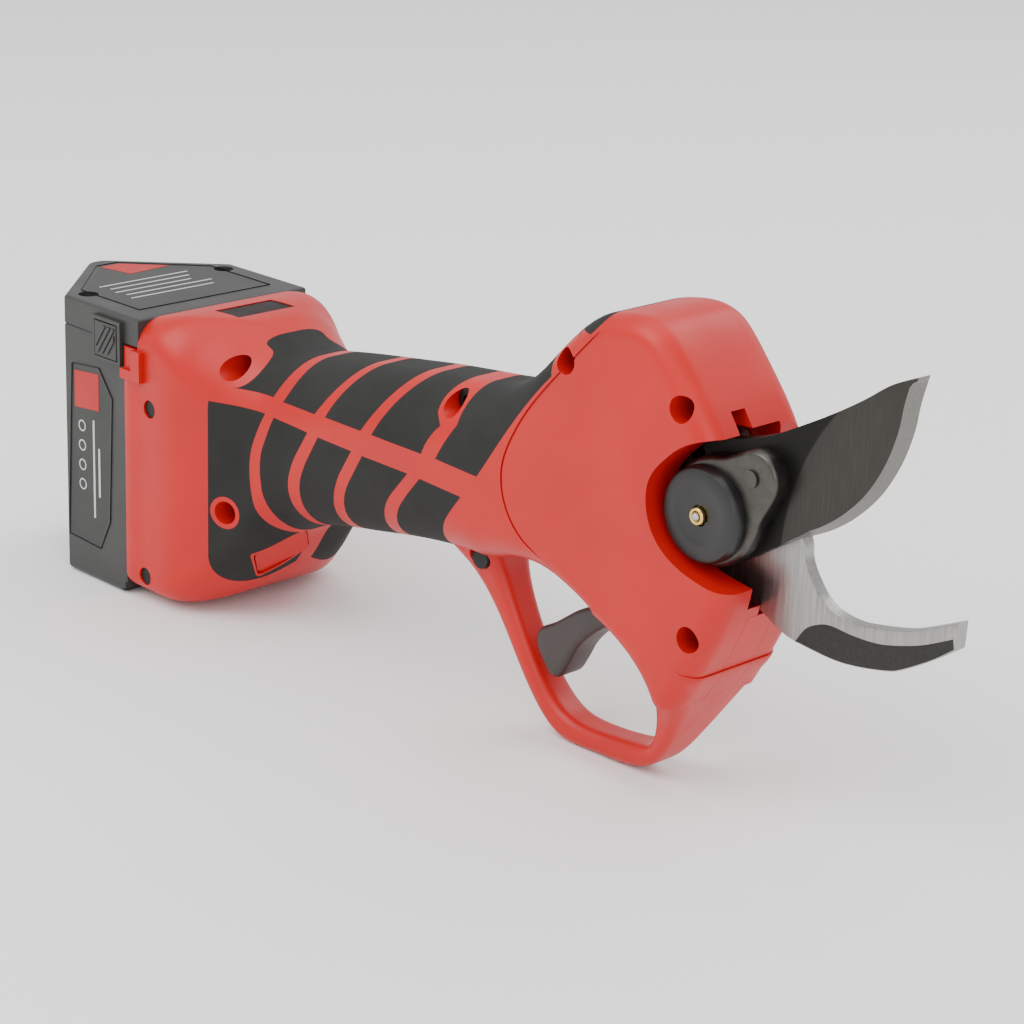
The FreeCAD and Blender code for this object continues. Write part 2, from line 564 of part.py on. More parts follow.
def build_battery():
    """Case, cap, cells, boards, labels and latches, all riding on the battery."""
    inner = battery_prism(1.8, 2.0, CASE_TOP + 1)
    case = fillet_edges(battery_prism(0.0, 0.0, CASE_TOP), 1.6, lambda e: e.BoundBox.ZMax < 0.01)
    case = case.cut(inner)
    guides = [block(14.6, JOIN_X - 1.0, s * RAIL_Y - 4.3, s * RAIL_Y + 4.3, 0.0, 60.0) for s in (-1, 1)]
    posts = [rod(V(x, y, 40.0), V(0, 0, 1), 3.2, CASE_TOP - 40.0) for x, y in CAP_SCREWS]
    for x, y in CAP_SCREWS:
        near, far = sorted((math.copysign(20.5, y), math.copysign(25.5, y)))
        posts.append(block(x - 2.5, x + 2.5, near, far, 40.0, CASE_TOP))
    case = case.fuse(guides + posts)
    case = case.cut(block(17.4, 25.0, -30.0, 30.0, -1.0, 1.2))
    for y0, y1 in ((-26.7, -22.5), (22.5, 26.7)):
        case = case.cut(block(18.9, 25.0, y0, y1, -1.0, 3.2))
    for s in (-1, 1):
        case = case.cut(rail(s * RAIL_Y, 0.3, -1.0, 57.0))
    for y in PAD_Y:
        case = case.cut(block(17.0, 25.0, y - 1.0, y + 1.0, 13.0, 23.0))
    for x, y in CAP_SCREWS:
        case = case.cut(rod(V(x, y, 54.0), V(0, 0, 1), 1.25, 20.0))
    for y0, y1 in ((-30.0, -20.0), (20.0, 30.0)):
        case = case.cut(latch_window(0.3, y0, y1))
    labels = []
    for y0, y1 in ((-BATTERY_HALF, -BATTERY_HALF + 0.3), (BATTERY_HALF - 0.3, BATTERY_HALF)):
        labels.append(plate([(-1.5, 55.3), (8.7, 56.3), (13.6, 50.1), (12.0, 17.9), (8.3, 10.2),
                             (-3.8, 10.9)], y0, y1))
    for label in labels:
        case = case.cut(label)
    save("battery_case", case)
    save("battery_label_side", group(labels))

    cap = battery_prism(0.0, CASE_TOP, BATTERY_HEIGHT, CAP_FRONT)
    cap = cap.cut(battery_prism(1.8, CASE_TOP - 1, BATTERY_HEIGHT - 1.8))
    cap = fillet_edges(cap, 0.8, lambda e: e.BoundBox.ZMin > BATTERY_HEIGHT - 0.01)
    frame = []
    for y0, y1 in ((-27.9, -25.6), (25.6, 27.9)):
        frame.append(block(8.0, 19.4, y0, y1, 60.2, 71.4).cut(block(0, 30, -BATTERY_HALF - 0.05,
                                                                    BATTERY_HALF + 0.05, 50, CASE_TOP)))
    cap = cap.fuse(frame)
    for y0, y1 in ((-30.0, -20.0), (20.0, 30.0)):
        cap = cap.cut(latch_window(0.3, y0, y1))
    cap_posts = [rod(V(x, y, CASE_TOP), V(0, 0, 1), 3.2, CAP_HEIGHT - 1.0) for x, y in CAP_SCREWS]
    cap = cap.fuse(cap_posts)
    for x, y in CAP_SCREWS:
        cap = cap.cut(rod(V(x, y, BATTERY_HEIGHT - 2.6), V(0, 0, 1), 2.6, 5.0))
        cap = cap.cut(rod(V(x, y, CASE_TOP - 1), V(0, 0, 1), 1.5, 20.0))
    face = [V(17.5, -20.0, 73.1), V(-6.0, -20.0, 73.1), V(-23.0, -3.0, 73.1), V(-23.0, 3.0, 73.1),
            V(-6.0, 20.0, 73.1), V(17.5, 20.0, 73.1)]
    label = Part.Face(Part.makePolygon(face + face[:1])).extrude(V(0, 0, 0.3))
    label = label.cut(Part.makeCompound([rod(V(x, y, 70), V(0, 0, 1), 3.0, 6) for x, y in CAP_SCREWS]))
    cap = cap.cut(label)
    save("battery_cap", cap)
    save("battery_label_top", label)
    screws = []
    for x, y in CAP_SCREWS:
        head = rod(V(x, y, BATTERY_HEIGHT - 2.6), V(0, 0, 1), 2.4, 1.6)
        screws.append(head.fuse(rod(V(x, y, 55.0), V(0, 0, 1), 1.2, BATTERY_HEIGHT - 2.6 - 55.0)))
    save("cap_screws", group(screws))

    cells = [rod(V(x, y, CELL_Z), V(0, 0, 1), CELL_R, CELL_LEN) for x, y in CELL_SPOTS]
    save("battery_cells", group(cells))
    spots = Part.makeCompound([rod(V(x, y, 0), V(0, 0, 1), CELL_R + 0.05, 80) for x, y in CELL_SPOTS])
    keep_out = Part.makeCompound(guides + posts)
    holders = []
    for z in (8.0, 50.0):
        holders.append(battery_prism(1.8, z, z + 3.0).cut(spots).cut(keep_out))
    save("cell_holders", group([h for holder in holders for h in holder.Solids if h.Volume > 20]))
    save("battery_board", block(-23.9, -22.7, -3.6, 3.6, 11.0, 50.0))
    save("battery_terminals", group([block(17.0, JOIN_X - 0.2, y - 1.0, y + 1.0, 13.0, 23.0)
                                     for y in PAD_Y]))

    for side, name in ((-1, "latch_right"), (1, "latch_left")):
        x0, x1, z0, z1 = LATCH_BOX
        pad = block(x0, x1, -28.0, -24.4, z0, z1)
        ribs = []
        for k in range(4):
            rib = block(-0.45, 0.45, -28.3, -27.0, -6.0, 6.0)
            rib.rotate(V(0, 0, 0), V(0, 1, 0), 35.0)
            rib.translate(V(x0 + 1.6 + 1.9 * k, 0, 0.5 * (z0 + z1)))
            ribs.append(rib.common(block(x0 + 0.7, x1 - 0.7, -30, -20, z0 + 0.8, z1 - 0.8)))
        pad = pad.fuse(ribs)
        if side > 0:
            pad = pad.mirror(V(0, 0, 0), V(0, 1, 0))
        save(name, pad)



# ---- base: mount plate, boards, window, button ----------------------------------------------
BOARD_BACK, BOARD_FRONT = 36.0, 37.6


def build_base(outside):
    plate_solid = block(JOIN_X + 0.2, JOIN_X + 3.2, -24.3, 24.3, 5.4, 63.0)
    lugs = []
    for x, z in MOUNT_SCREWS:
        low = max(z - 3.6, 5.4)
        for s in (-1, 1):
            y0, y1 = (-24.3, -16.0) if s < 0 else (16.0, 24.3)
            lugs.append(block(JOIN_X + 3.0, x + 3.4, y0, y1, low, z + 3.6))
    pillars = [rod(V(JOIN_X + 3.0, s * 12.0, z), V(1, 0, 0), 2.4, BOARD_BACK - JOIN_X - 3.0)
               for s in (-1, 1) for z in (28.0, 44.0)]
    plate_solid = plate_solid.fuse(lugs + pillars + [rail(s * RAIL_Y, 0.0, 6.5, 56.0) for s in (-1, 1)])
    for y in PAD_Y:
        plate_solid = plate_solid.cut(block(JOIN_X - 1, JOIN_X + 4, y - 1.2, y + 1.2, 14.0, 22.0))
    for x, z in MOUNT_SCREWS:
        plate_solid = plate_solid.cut(across(x, z, 1.28, -30, 30))
    save("battery_mount_plate", plate_solid)
    save("tool_contacts", group([block(JOIN_X + 0.2, JOIN_X + 5.0, y - 1.2, y + 1.2, 14.0, 22.0)
                                 for y in PAD_Y]))
    screws = []
    for x, z in MOUNT_SCREWS:
        for s in (-1, 1):
            head = across(x, z, 2.15, *((-26.4, -25.4) if s < 0 else (25.4, 26.4)))
            shank = across(x, z, 1.25, *((-25.4, -17.0) if s < 0 else (17.0, 25.4)))
            screws.append(head.fuse(shank))
    save("mount_plate_screws", group(screws))

    board = block(BOARD_BACK, BOARD_FRONT, -19.0, 19.0, 11.0, 66.6)
    save("controller_board", board)
    parts = [block(BOARD_FRONT, BOARD_FRONT + 3.0, y - 2.6, y + 2.6, 14.0, 22.0) for y in (-15, 1, 9, 16)]
    parts += [rod(V(BOARD_FRONT, y, 43.0), V(1, 0, 0), 3.9, 9.0) for y in (-4.5, 4.5)]
    parts.append(block(BOARD_FRONT, BOARD_FRONT + 1.2, -5.0, 5.0, 27.0, 36.0))
    save("board_components", group(parts))
    pane = body_loft(0.2).common(display_room(0.0)).cut(body_loft(WALL))
    save("display_window", pane)

    button = button_plug(0.0, -2.6, 0.5).fuse(rod(BUTTON_AT - BUTTON_OUT * 4.6, BUTTON_OUT, 1.5, 2.5))
    save("power_button", button)
    along = (BUTTON_LONG - BUTTON_OUT * BUTTON_LONG.dot(BUTTON_OUT)).normalize()
    side = BUTTON_OUT.cross(along).normalize()
    centre = BUTTON_AT - BUTTON_OUT * 9.5
    corners = [centre + along * a + side * b for a, b in ((-3.4, -3.2), (3.4, -3.2), (3.4, 3.2), (-3.4, 3.2))]
    switch = Part.Face(Part.makePolygon(corners + corners[:1])).extrude(BUTTON_OUT * 3.4)
    save("power_switch", switch)
    return board, switch


# ---- drive ------------------------------------------------------------------------------
def drive_rod(start, end, radius, up=0.0, y=0.0):
    return rod(on_axis(start, up, y), AXIS, radius, end - start)


def build_drive(board):
    can = drive_rod(60.0, 98.0, DRIVE_R)
    can = can.cut(drive_rod(64.5, 93.5, 12.3))
    can = can.cut(drive_rod(61.5, 64.6, 4.0)).cut(drive_rod(93.4, 96.5, 4.0)).cut(drive_rod(96.4, 98.1, 2.2))
    save("motor_can", can)
    stator = drive_rod(67.0, 91.0, 12.3).cut(drive_rod(66.9, 91.1, 8.5))
    slots = []
    for k in range(9):
        a = math.radians(40.0 * k)
        slots.append(drive_rod(66.9, 91.1, 0.9, up=10.4 * math.cos(a), y=10.4 * math.sin(a)))
    save("motor_stator", stator.cut(Part.makeCompound(slots)))
    rotor = drive_rod(67.5, 90.5, 8.0).fuse(drive_rod(61.8, 106.0, 1.5))
    save("motor_rotor", rotor)
    rings = [drive_rod(a, a + 2.8, 4.0).cut(drive_rod(a - 1, a + 4, 1.56)) for a in (61.6, 93.6)]
    save("motor_bearings", group(rings))

    sun = on_drive(gear(SUN_TEETH, True, 6.2), 99.6).cut(drive_rod(98, 110, 1.5))
    save("sun_gear", sun)
    reach = MODULE * (SUN_TEETH + PLANET_TEETH) / 2
    half_tooth = math.pi / PLANET_TEETH
    for i in range(3):
        turn = 2 * math.pi * i / 3
        planet = on_drive(gear(PLANET_TEETH, True, 6.6), 99.8, reach, turn, half_tooth)
        planet = planet.cut(on_drive(Part.makeCylinder(1.56, 20), 95.0, reach, turn))
        save(f"planet_gear_{i + 1}", planet)
    ring = drive_rod(98.0, 120.0, DRIVE_R).cut(on_drive(gear(RING_TEETH, False, 8.0), 99.2))
    ring = ring.cut(drive_rod(97.9, 99.3, 4.4)).cut(drive_rod(107.0, 117.0, 12.2)).cut(drive_rod(116.9, 120.1, 5.6))
    save("ring_gear", ring)
    carrier = drive_rod(107.3, 110.5, 10.6).fuse(drive_rod(110.5, 113.0, 5.0))
    for i in range(3):
        carrier = carrier.fuse(on_drive(Part.makeCylinder(1.5, 7.6), 99.8, reach, 2 * math.pi * i / 3))
    carrier = carrier.cut(drive_rod(107.2, 113.1, 3.0))
    save("planet_carrier", carrier)

    profile = [V(0, 0, 0), V(3.0, 0, 0), V(3.0, 0, 19.6)]
    pitch = 3.0
    turns = 15
    for k in range(turns):
        z = 19.6 + pitch * k
        profile += [V(4.0, 0, z + 0.6), V(4.0, 0, z + 2.0), V(3.5, 0, z + pitch)]
    profile += [V(0, 0, 19.6 + pitch * turns)]
    face = Part.Face(Part.makePolygon(profile + profile[:1]))
    screw = face.revolve(V(0, 0, 0), V(0, 0, 1), 360)
    save("lead_screw", on_drive(screw, 107.3))
    save("screw_bearing", drive_rod(120.0, 126.0, 8.0).cut(drive_rod(119, 127, 3.06)))
    bearing_block = drive_rod(120.0, 127.0, 11.0).cut(drive_rod(119.9, 126.0, 8.0)).cut(drive_rod(125.9, 127.1, 4.6))
    save("bearing_block", bearing_block)

    nut = drive_rod(NUT_REST, NUT_REST + 12.0, 8.0)
    ear_at = on_axis(NUT_REST + 6.0, 9.0)
    ear = block(-4.5, 4.5, -3.0, LINK_NEAR, -6.0, 3.6)
    ear.rotate(V(0, 0, 0), V(0, 1, 0), -math.degrees(AXIS_TILT))
    ear.translate(ear_at)
    nut = nut.fuse(ear).cut(drive_rod(130, 160, 4.06)).cut(across(ear_at.x, ear_at.z, 2.0, -10, 10))
    save("screw_nut", nut)
    pin_x, pin_z = crank_pin_at()
    bar_way = V(pin_x - ear_at.x, 0, pin_z + 0.6 - ear_at.z)
    bar_len = bar_way.Length
    bar = block(0, bar_len, LINK_NEAR, LINK_FAR, -2.7, 2.7)
    bar.rotate(V(0, 0, 0), V(0, 1, 0), -math.degrees(math.atan2(bar_way.z, bar_way.x)))
    bar.translate(V(ear_at.x, 0, ear_at.z))
    bar = bar.fuse(across(ear_at.x, ear_at.z, 3.4, LINK_NEAR, LINK_FAR))
    bar = bar.fuse(across(pin_x, pin_z + 0.6, 4.3, LINK_NEAR, LINK_FAR))
    slot = []
    for side in (-0.5, 0.5):
        for lift in (-0.35, 1.45):
            slot.append(V(pin_x, 0, pin_z) + AXIS * side + AXIS_UP * lift)
    for p in slot:
        bar = bar.cut(across(p.x, p.z, 2.0, 0, 6))
    low_left, high_left, low_right, high_right = slot
    core = [low_left - AXIS * 2.0, high_left - AXIS * 2.0, high_right + AXIS * 2.0, low_right + AXIS * 2.0]
    bar = bar.cut(plate([(p.x, p.z) for p in core], 0, 6))
    bar = bar.cut(across(ear_at.x, ear_at.z, 2.0, 0, 6))
    bar = bar.cut(drive_rod(NUT_REST - 1.0, NUT_REST + 13.0, 8.05))
    bar = max(bar.Solids, key=lambda s: s.Volume)
    save("drive_link", bar)
    save("link_pin", across(ear_at.x, ear_at.z, 2.0, -3.0, LINK_FAR))

    leads = []
    for y in (-7.0, 0.0, 7.0):
        start = on_axis(60.5, 9.0, y)
        bend = V(50.0, y, 54.5)
        lead = run_of([start, bend, V(BOARD_FRONT - 0.5, y, 54.5)], 1.1)
        leads.append(lead.cut(can).cut(board))
    feed = [rod(V(JOIN_X + 5.0, y, 18.0), V(1, 0, 0), 1.0, BOARD_BACK - JOIN_X - 5.0) for y in (-7.5, 7.5)]
    return bearing_block, leads + feed


def crank_pin_at():
    """Crank pin of the open blade, on its circle round the pivot."""
    angle = math.radians(124.7)
    return PIVOT_X + CRANK * math.cos(angle), PIVOT_Z + CRANK * math.sin(angle)


# ---- cutting head --------------------------------------------------------------------------
def build_head(bearing_block):
    pin_x, pin_z = crank_pin_at()
    tail = [(190.6, 80.4), (190.0, 77.6), (190.6, 74.6), (189.7, 68.6), (191.6, 61.4), (196.2, 57.4),
            (202.0, 56.4), (208.6, 58.4)]
    edge = [(208.6, 58.4), (217.6, 64.2), (223.1, 67.0), (228.7, 70.0), (234.5, 74.4), (240.0, 80.4),
            (244.2, 87.7), (246.7, 95.0), (247.7, 101.0), (249.3, 107.2)]
    spine = [(249.3, 107.2), (243.1, 104.4), (236.5, 99.8), (229.5, 95.4), (221.1, 90.7), (213.3, 86.7),
             (205.0, 83.6), (196.0, 82.6), (190.6, 80.4)]
    blade = plate([tail, edge, spine], BLADE_NEAR, BLADE_FAR)
    blade = blade.cut(across(PIVOT_X, PIVOT_Z, 6.0, -20, 0)).cut(across(pin_x, pin_z, 2.0, -20, 0))
    blade = blade.cut(across(212.5, 78.1, 1.9, -20, 0))
    save("cutting_blade", blade)
    save("blade_bush", across(PIVOT_X, PIVOT_Z, 6.0, BLADE_NEAR, BLADE_FAR).cut(
        across(PIVOT_X, PIVOT_Z, 4.06, -20, 0)))
    save("crank_pin", across(pin_x, pin_z, 2.0, BLADE_NEAR, LINK_FAR))
    bracket = [[(192.7, 74.8), (195.7, 77.8), (199.5, 79.6), (204.5, 80.7), (208.4, 82.5), (211.4, 83.8),
                (214.5, 83.9), (217.1, 82.6), (218.9, 79.6), (218.8, 76.4), (217.5, 73.6), (214.8, 68.7),
                (213.8, 65.4), (211.6, 61.6), (208.0, 58.3), (205.3, 56.8), (201.1, 56.2), (195.6, 57.6),
                (191.8, 61.4), (190.2, 66.0), (190.4, 70.6), (192.7, 74.8)]]
    bracket = plate(bracket, -12.3, BLADE_NEAR).cut(across(PIVOT_X, PIVOT_Z, 4.06, -20, 0))
    bracket = bracket.cut(across(212.5, 78.1, 1.9, -20, 0))
    save("blade_bracket", bracket)
    save("bracket_rivet", across(212.5, 78.1, 1.9, -12.9, BLADE_FAR))

    inner = [(220.5, 65.5), (221.4, 61.0), (223.5, 57.2), (226.5, 53.9), (230.0, 52.1), (234.5, 51.4),
             (239.1, 51.8), (247.4, 53.5), (252.7, 55.5), (261.0, 59.3)]
    outer = [(260.7, 53.4), (254.9, 49.3), (247.9, 45.2), (244.1, 43.8), (236.6, 42.4), (229.9, 42.0),
             (220.1, 42.9), (215.6, 44.2), (210.9, 46.6)]
    collar = [(194.0, 74.6), (201.2, 76.8), (207.6, 75.0), (214.0, 70.6), (220.5, 65.5)]
    hook = plate([inner, outer, (204.0, 49.6), (190.0, 51.8), (176.6, 53.6), (176.6, 70.4), (187.0, 71.6),
                  collar], HOOK_NEAR, HOOK_FAR)
    hook = hook.cut(across(PIVOT_X, PIVOT_Z, 4.06, -20, 10))
    bolts = [(181.0, 58.0), (181.0, 66.6)]
    hook = hook.cut(Part.makeCompound([across(x, z, 2.0, -20, 10) for x, z in bolts]))
    save("counter_blade", hook)
    chassis = plate([(124.0, 44.2), (150.0, 48.0), (172.0, 50.6), (190.0, 50.0), (204.6, 49.6),
                     (209.0, 56.0), (210.4, 67.0),
                     [(208.0, 73.6), (201.2, 76.6), (194.4, 74.0)],
                     (187.0, 72.0), (174.0, 70.0), (172.6, 58.0), (166.0, 55.4), (150.0, 52.8),
                     (124.0, 48.8)], CHASSIS_NEAR, CHASSIS_FAR)
    chassis = chassis.cut(bearing_block).cut(across(PIVOT_X, PIVOT_Z, 4.06, -20, 10))
    chassis = chassis.cut(Part.makeCompound([across(x, z, 2.0, -20, 10) for x, z in bolts]))
    chassis = chassis.cut(drive_rod(110, 127.0, 11.0))
    save("chassis_plate", max(chassis.Solids, key=lambda s: s.Volume))
    save("counter_blade_screws", group([across(x, z, 2.0, HOOK_NEAR, CHASSIS_FAR).fuse(
        across(x, z, 3.4, HOOK_NEAR - 1.8, HOOK_NEAR)) for x, z in bolts]))
    bolt = across(PIVOT_X, PIVOT_Z, 4.0, -12.35, 8.6).fuse(across(PIVOT_X, PIVOT_Z, 7.0, -13.8, -12.35))
    save("pivot_bolt", bolt)
    points = [V(PIVOT_X + 6.2 * math.cos(math.radians(60 * k)), CHASSIS_FAR,
                PIVOT_Z + 6.2 * math.sin(math.radians(60 * k))) for k in range(7)]
    nut = Part.Face(Part.makePolygon(points)).extrude(V(0, 5.6, 0))
    save("pivot_nut", nut.cut(across(PIVOT_X, PIVOT_Z, 4.0, -20, 20)))
    knob = across(PIVOT_X, PIVOT_Z, 10.5, -15.2, -12.35).cut(across(PIVOT_X, PIVOT_Z, 7.0, -13.8, -12))
    knob = fillet_edges(knob, 0.9, lambda e: lies_at_y(-15.2)(e))
    save("pivot_cap", knob.cut(across(PIVOT_X, PIVOT_Z, 1.88, -20, -13)))
    nipple = across(PIVOT_X, PIVOT_Z, 1.88, -15.9, -13.8)
    ball = Part.makeSphere(0.95, V(PIVOT_X, -15.8, PIVOT_Z))
    save("grease_nipple", nipple.cut(ball))
    save("nipple_ball", ball)


# ---- trigger and guard ------------------------------------------------------------------------
def build_trigger(outside, board, switch, leads):
    lever = [[(166.0, 38.0), (164.2, 35.0), (158.8, 32.0), (152.1, 27.2), (147.5, 24.8), (146.9, 21.6),
              (149.6, 16.4), (152.0, 14.1), (154.6, 14.8), (157.2, 18.9), (159.6, 23.2), (164.2, 28.0),
              (169.8, 31.8), (176.0, 34.8), (183.0, 38.2)],
             [(183.0, 38.2), (184.4, 42.6), (181.6, 46.2), (177.0, 46.2)],
             (172.0, 43.0), (166.0, 43.0)]
    solid = plate(lever, GUARD_MID - 4.25, GUARD_MID + 4.25)
    solid = solid.cut(across(*TRIGGER_PIVOT, 1.56, -20, 20))
    save("trigger", solid)
    save("trigger_pin", across(*TRIGGER_PIVOT, 1.5, *TRIGGER_PIN))
    save("trigger_spring", tube(V(169.0, GUARD_MID - 1.0, 43.0), V(0, 0, 1), 2.2, 1.5, 7.0))
    sensor = trigger_sensor_room()
    save("trigger_sensor", sensor)
    cable = sensor_run(0.0).cut(sensor).cut(board)
    switch_lead = run_of([V(BOARD_FRONT, -9.2, 22.4), V(54.0, -9.2, 22.4)], 0.7).cut(switch)
    switch_lead = min(switch_lead.Solids, key=lambda s: s.BoundBox.XMin)
    save("wiring", group([cable, switch_lead] + leads))

    above_seam = block(170.0, 230.0, -30, 30, SEAM_Z, 60)
    below_floor = block(100.0, 230.0, -30, 30, -5.0, 0.0)
    guard = guard_loft().cut(outside).cut(above_seam).cut(guard_tab(0.25)).cut(below_floor)
    guard = max(guard.Solids, key=lambda s: s.Volume)
    strip = outside.common(strip_room(0.0))
    guard = guard.fuse(strip)
    guard = guard.cut(across(*TOWERS[-1], SCREW_HEAD_R + 0.15, -12.0, HEAD_SEAT + 0.1))
    guard = guard.cut(across(*GUARD_SCREW, 1.6, -12.0, 4.0)).cut(across(*GUARD_SCREW, 2.7, -20.0, -8.6))
    save("trigger_guard", guard)
    screw = across(*GUARD_SCREW, 1.48, -8.6, -0.3).fuse(across(*GUARD_SCREW, 2.5, -10.2, -8.6))
    save("guard_screw", screw)
    screws = []
    for x, z in TOWERS:
        head = across(x, z, SCREW_HEAD_R, HEAD_SEAT - 2.6, HEAD_SEAT)
        recess = across(x, z, 1.3, HEAD_SEAT - 3.0, HEAD_SEAT - 1.2)
        screws.append(head.fuse(across(x, z, SCREW_R, HEAD_SEAT, 7.4)).cut(recess))
    save("housing_screws", group(screws))


def main():
    outside, halves = build_housing()
    panels = build_rubber(outside)
    build_battery()
    board, switch = build_base(outside)
    halves["housing_right"] = halves["housing_right"].cut(switch)
    for name, half in halves.items():
        side = "grip_rubber_" + name.split("_")[1]
        save(name, half.cut(Part.makeCompound(panels[side])))
        save(side, group(panels[side]))
    bearing_block, leads = build_drive(board)
    build_head(bearing_block)
    build_trigger(outside, board, switch, leads)


if __name__ == "__main__":
    main()
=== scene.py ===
"""Battery pruner: the visible pieces and finishes, laid out as an add-on and run as a script."""
import math

import bmesh
import bpy
from mathutils import Matrix, Vector


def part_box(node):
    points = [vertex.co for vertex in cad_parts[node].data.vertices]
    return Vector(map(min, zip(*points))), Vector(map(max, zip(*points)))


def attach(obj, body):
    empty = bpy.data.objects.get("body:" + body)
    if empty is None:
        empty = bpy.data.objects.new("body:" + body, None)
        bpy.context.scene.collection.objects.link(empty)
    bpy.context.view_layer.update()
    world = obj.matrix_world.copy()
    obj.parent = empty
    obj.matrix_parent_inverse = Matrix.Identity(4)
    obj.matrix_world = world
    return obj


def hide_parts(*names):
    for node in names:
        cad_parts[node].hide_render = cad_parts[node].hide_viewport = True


bl_info = {
    "name": "Battery pruner",
    "version": (1, 0, 0),
    "blender": (4, 5, 0),
    "location": "View3D > Sidebar > Pruner",
    "description": "Builds a battery pruner piece by piece over its measured frame",
    "category": "Object",
}

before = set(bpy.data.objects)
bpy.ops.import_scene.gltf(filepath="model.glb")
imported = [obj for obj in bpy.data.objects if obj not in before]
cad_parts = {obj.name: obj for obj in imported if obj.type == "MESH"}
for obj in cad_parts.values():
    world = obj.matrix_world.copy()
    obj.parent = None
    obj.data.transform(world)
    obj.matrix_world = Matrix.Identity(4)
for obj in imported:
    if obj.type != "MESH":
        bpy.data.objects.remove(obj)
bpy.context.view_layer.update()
MM = 0.001

# places taken from the frame, in millimetres
BLADE_LOW, BLADE_HIGH = [tuple(v / MM for v in corner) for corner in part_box("cutting_blade")]
BLADE_NEAR, BLADE_FAR = BLADE_LOW[1], BLADE_HIGH[1]
HOOK_NEAR, HOOK_FAR = [corner[1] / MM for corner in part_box("counter_blade")]
KNOB_LOW, KNOB_HIGH = [tuple(v / MM for v in corner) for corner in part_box("pivot_cap")]
PIVOT = ((KNOB_LOW[0] + KNOB_HIGH[0]) / 2, (KNOB_LOW[2] + KNOB_HIGH[2]) / 2)

# camera: degrees round from the side, up and rolled, aim in mm, distance in metres, lens in mm
CAMERA_TURN, CAMERA_LIFT, CAMERA_ROLL = 45.513, 18.937, 1.914
CAMERA_AIM = (131.0, 0.0, 46.4)
CAMERA_AWAY = 0.65
CAMERA_LENS = 99.86

# edge of the ground zone on the cutting blade: circle centre, radius and half of its soft border
GRIND_X, GRIND_Z, GRIND_R, GRIND_BLEND = 272.1, 61.0, 54.35, 0.25


# ---- sizes and colours -------------------------------------------------------------------
class PrunerLook(bpy.types.PropertyGroup):
    red: bpy.props.StringProperty(name="Shell red", default="#B20604",
                                  description="sRGB hex colour of the moulded shell")
    rubber: bpy.props.StringProperty(name="Grip rubber", default="#1D1D1C",
                                     description="sRGB hex colour of the overmoulded grip")
    battery: bpy.props.StringProperty(name="Battery plastic", default="#282827",
                                      description="sRGB hex colour of the battery case")
    coating: bpy.props.StringProperty(name="Blade coating", default="#1E1E1D",
                                      description="sRGB hex colour of the coated steel")


class PrunerSizes(bpy.types.PropertyGroup):
    bevel_width: bpy.props.FloatProperty(name="Blade bevel", default=1.3 * MM, unit="LENGTH",
                                         subtype="DISTANCE",
                                         description="Width of the ground cutting bevel")
    seam_width: bpy.props.FloatProperty(name="Battery seam", default=0.32 * MM, unit="LENGTH",
                                        subtype="DISTANCE",
                                        description="Chamfer that opens the joint of battery case and cap")


# ---- materials ----------------------------------------------------------------------------
# sockets of a colour Mix node
MIX_FACTOR, MIX_FIRST, MIX_SECOND, MIX_RESULT = 0, 6, 7, 2


def linear(code):
    """sRGB hex to a linear colour with alpha."""
    channels = [int(code[i:i + 2], 16) / 255 for i in (1, 3, 5)]
    return tuple(c / 12.92 if c <= 0.04045 else ((c + 0.055) / 1.055) ** 2.4 for c in channels) + (1.0,)


def add(tree, kind, settings=None, links=None, **attributes):
    """Add a node with its attributes, its input values and its incoming links."""
    made = tree.nodes.new(kind)
    for key, value in attributes.items():
        setattr(made, key, value)
    for key, value in (settings or {}).items():
        made.inputs[key].default_value = value
    for key, source in (links or {}).items():
        tree.links.new(source, made.inputs[key])
    return made


def start(name):
    """Empty material: its tree, its shader and the object coordinates."""
    material = bpy.data.materials.new(name)
    material.use_nodes = True
    tree = material.node_tree
    tree.nodes.clear()
    output = add(tree, "ShaderNodeOutputMaterial")
    shader = add(tree, "ShaderNodeBsdfPrincipled")
    tree.links.new(shader.outputs["BSDF"], output.inputs["Surface"])
    place = add(tree, "ShaderNodeTexCoord").outputs["Object"]
    return material, tree, shader, place


def mottle(tree, place, size_mm, low, high, detail=3.0):
    """Soft noise between two values, with blotches of a real size."""
    noise = add(tree, "ShaderNodeTexNoise", {"Scale": 1 / (size_mm * MM), "Detail": detail},
                {"Vector": place})
    return add(tree, "ShaderNodeMapRange", {"From Min": 0.3, "From Max": 0.7, "To Min": low, "To Max": high},
               {"Value": noise.outputs["Fac"]}).outputs["Result"]


def tint(tree, factor, first, second):
    """Colour that runs from first to second."""
    mix = add(tree, "ShaderNodeMix", {MIX_FIRST: linear(first), MIX_SECOND: linear(second)},
              {MIX_FACTOR: factor}, data_type="RGBA")
    return mix.outputs[MIX_RESULT]


def moulded(name, first, second, rough, grain_mm, depth_mm, coat=0.0, specular=0.5):
    """Moulded plastic or rubber: spark-eroded grain in the tool, slight shade and gloss drift."""
    material, tree, shader, place = start(name)
    drift = mottle(tree, place, 22.0, 0.0, 1.0)
    tree.links.new(tint(tree, drift, first, second), shader.inputs["Base Color"])
    tree.links.new(mottle(tree, place, 9.0, rough - 0.04, rough + 0.05), shader.inputs["Roughness"])
    grain = add(tree, "ShaderNodeTexNoise", {"Scale": 1 / (grain_mm * MM), "Detail": 2.0}, {"Vector": place})
    bump = add(tree, "ShaderNodeBump", {"Strength": 0.5, "Distance": depth_mm * MM},
               {"Height": grain.outputs["Fac"]})
    tree.links.new(bump.outputs["Normal"], shader.inputs["Normal"])
    shader.inputs["Coat Weight"].default_value = coat
    shader.inputs["Coat Roughness"].default_value = 0.25
    shader.inputs["Specular IOR Level"].default_value = specular
    return material


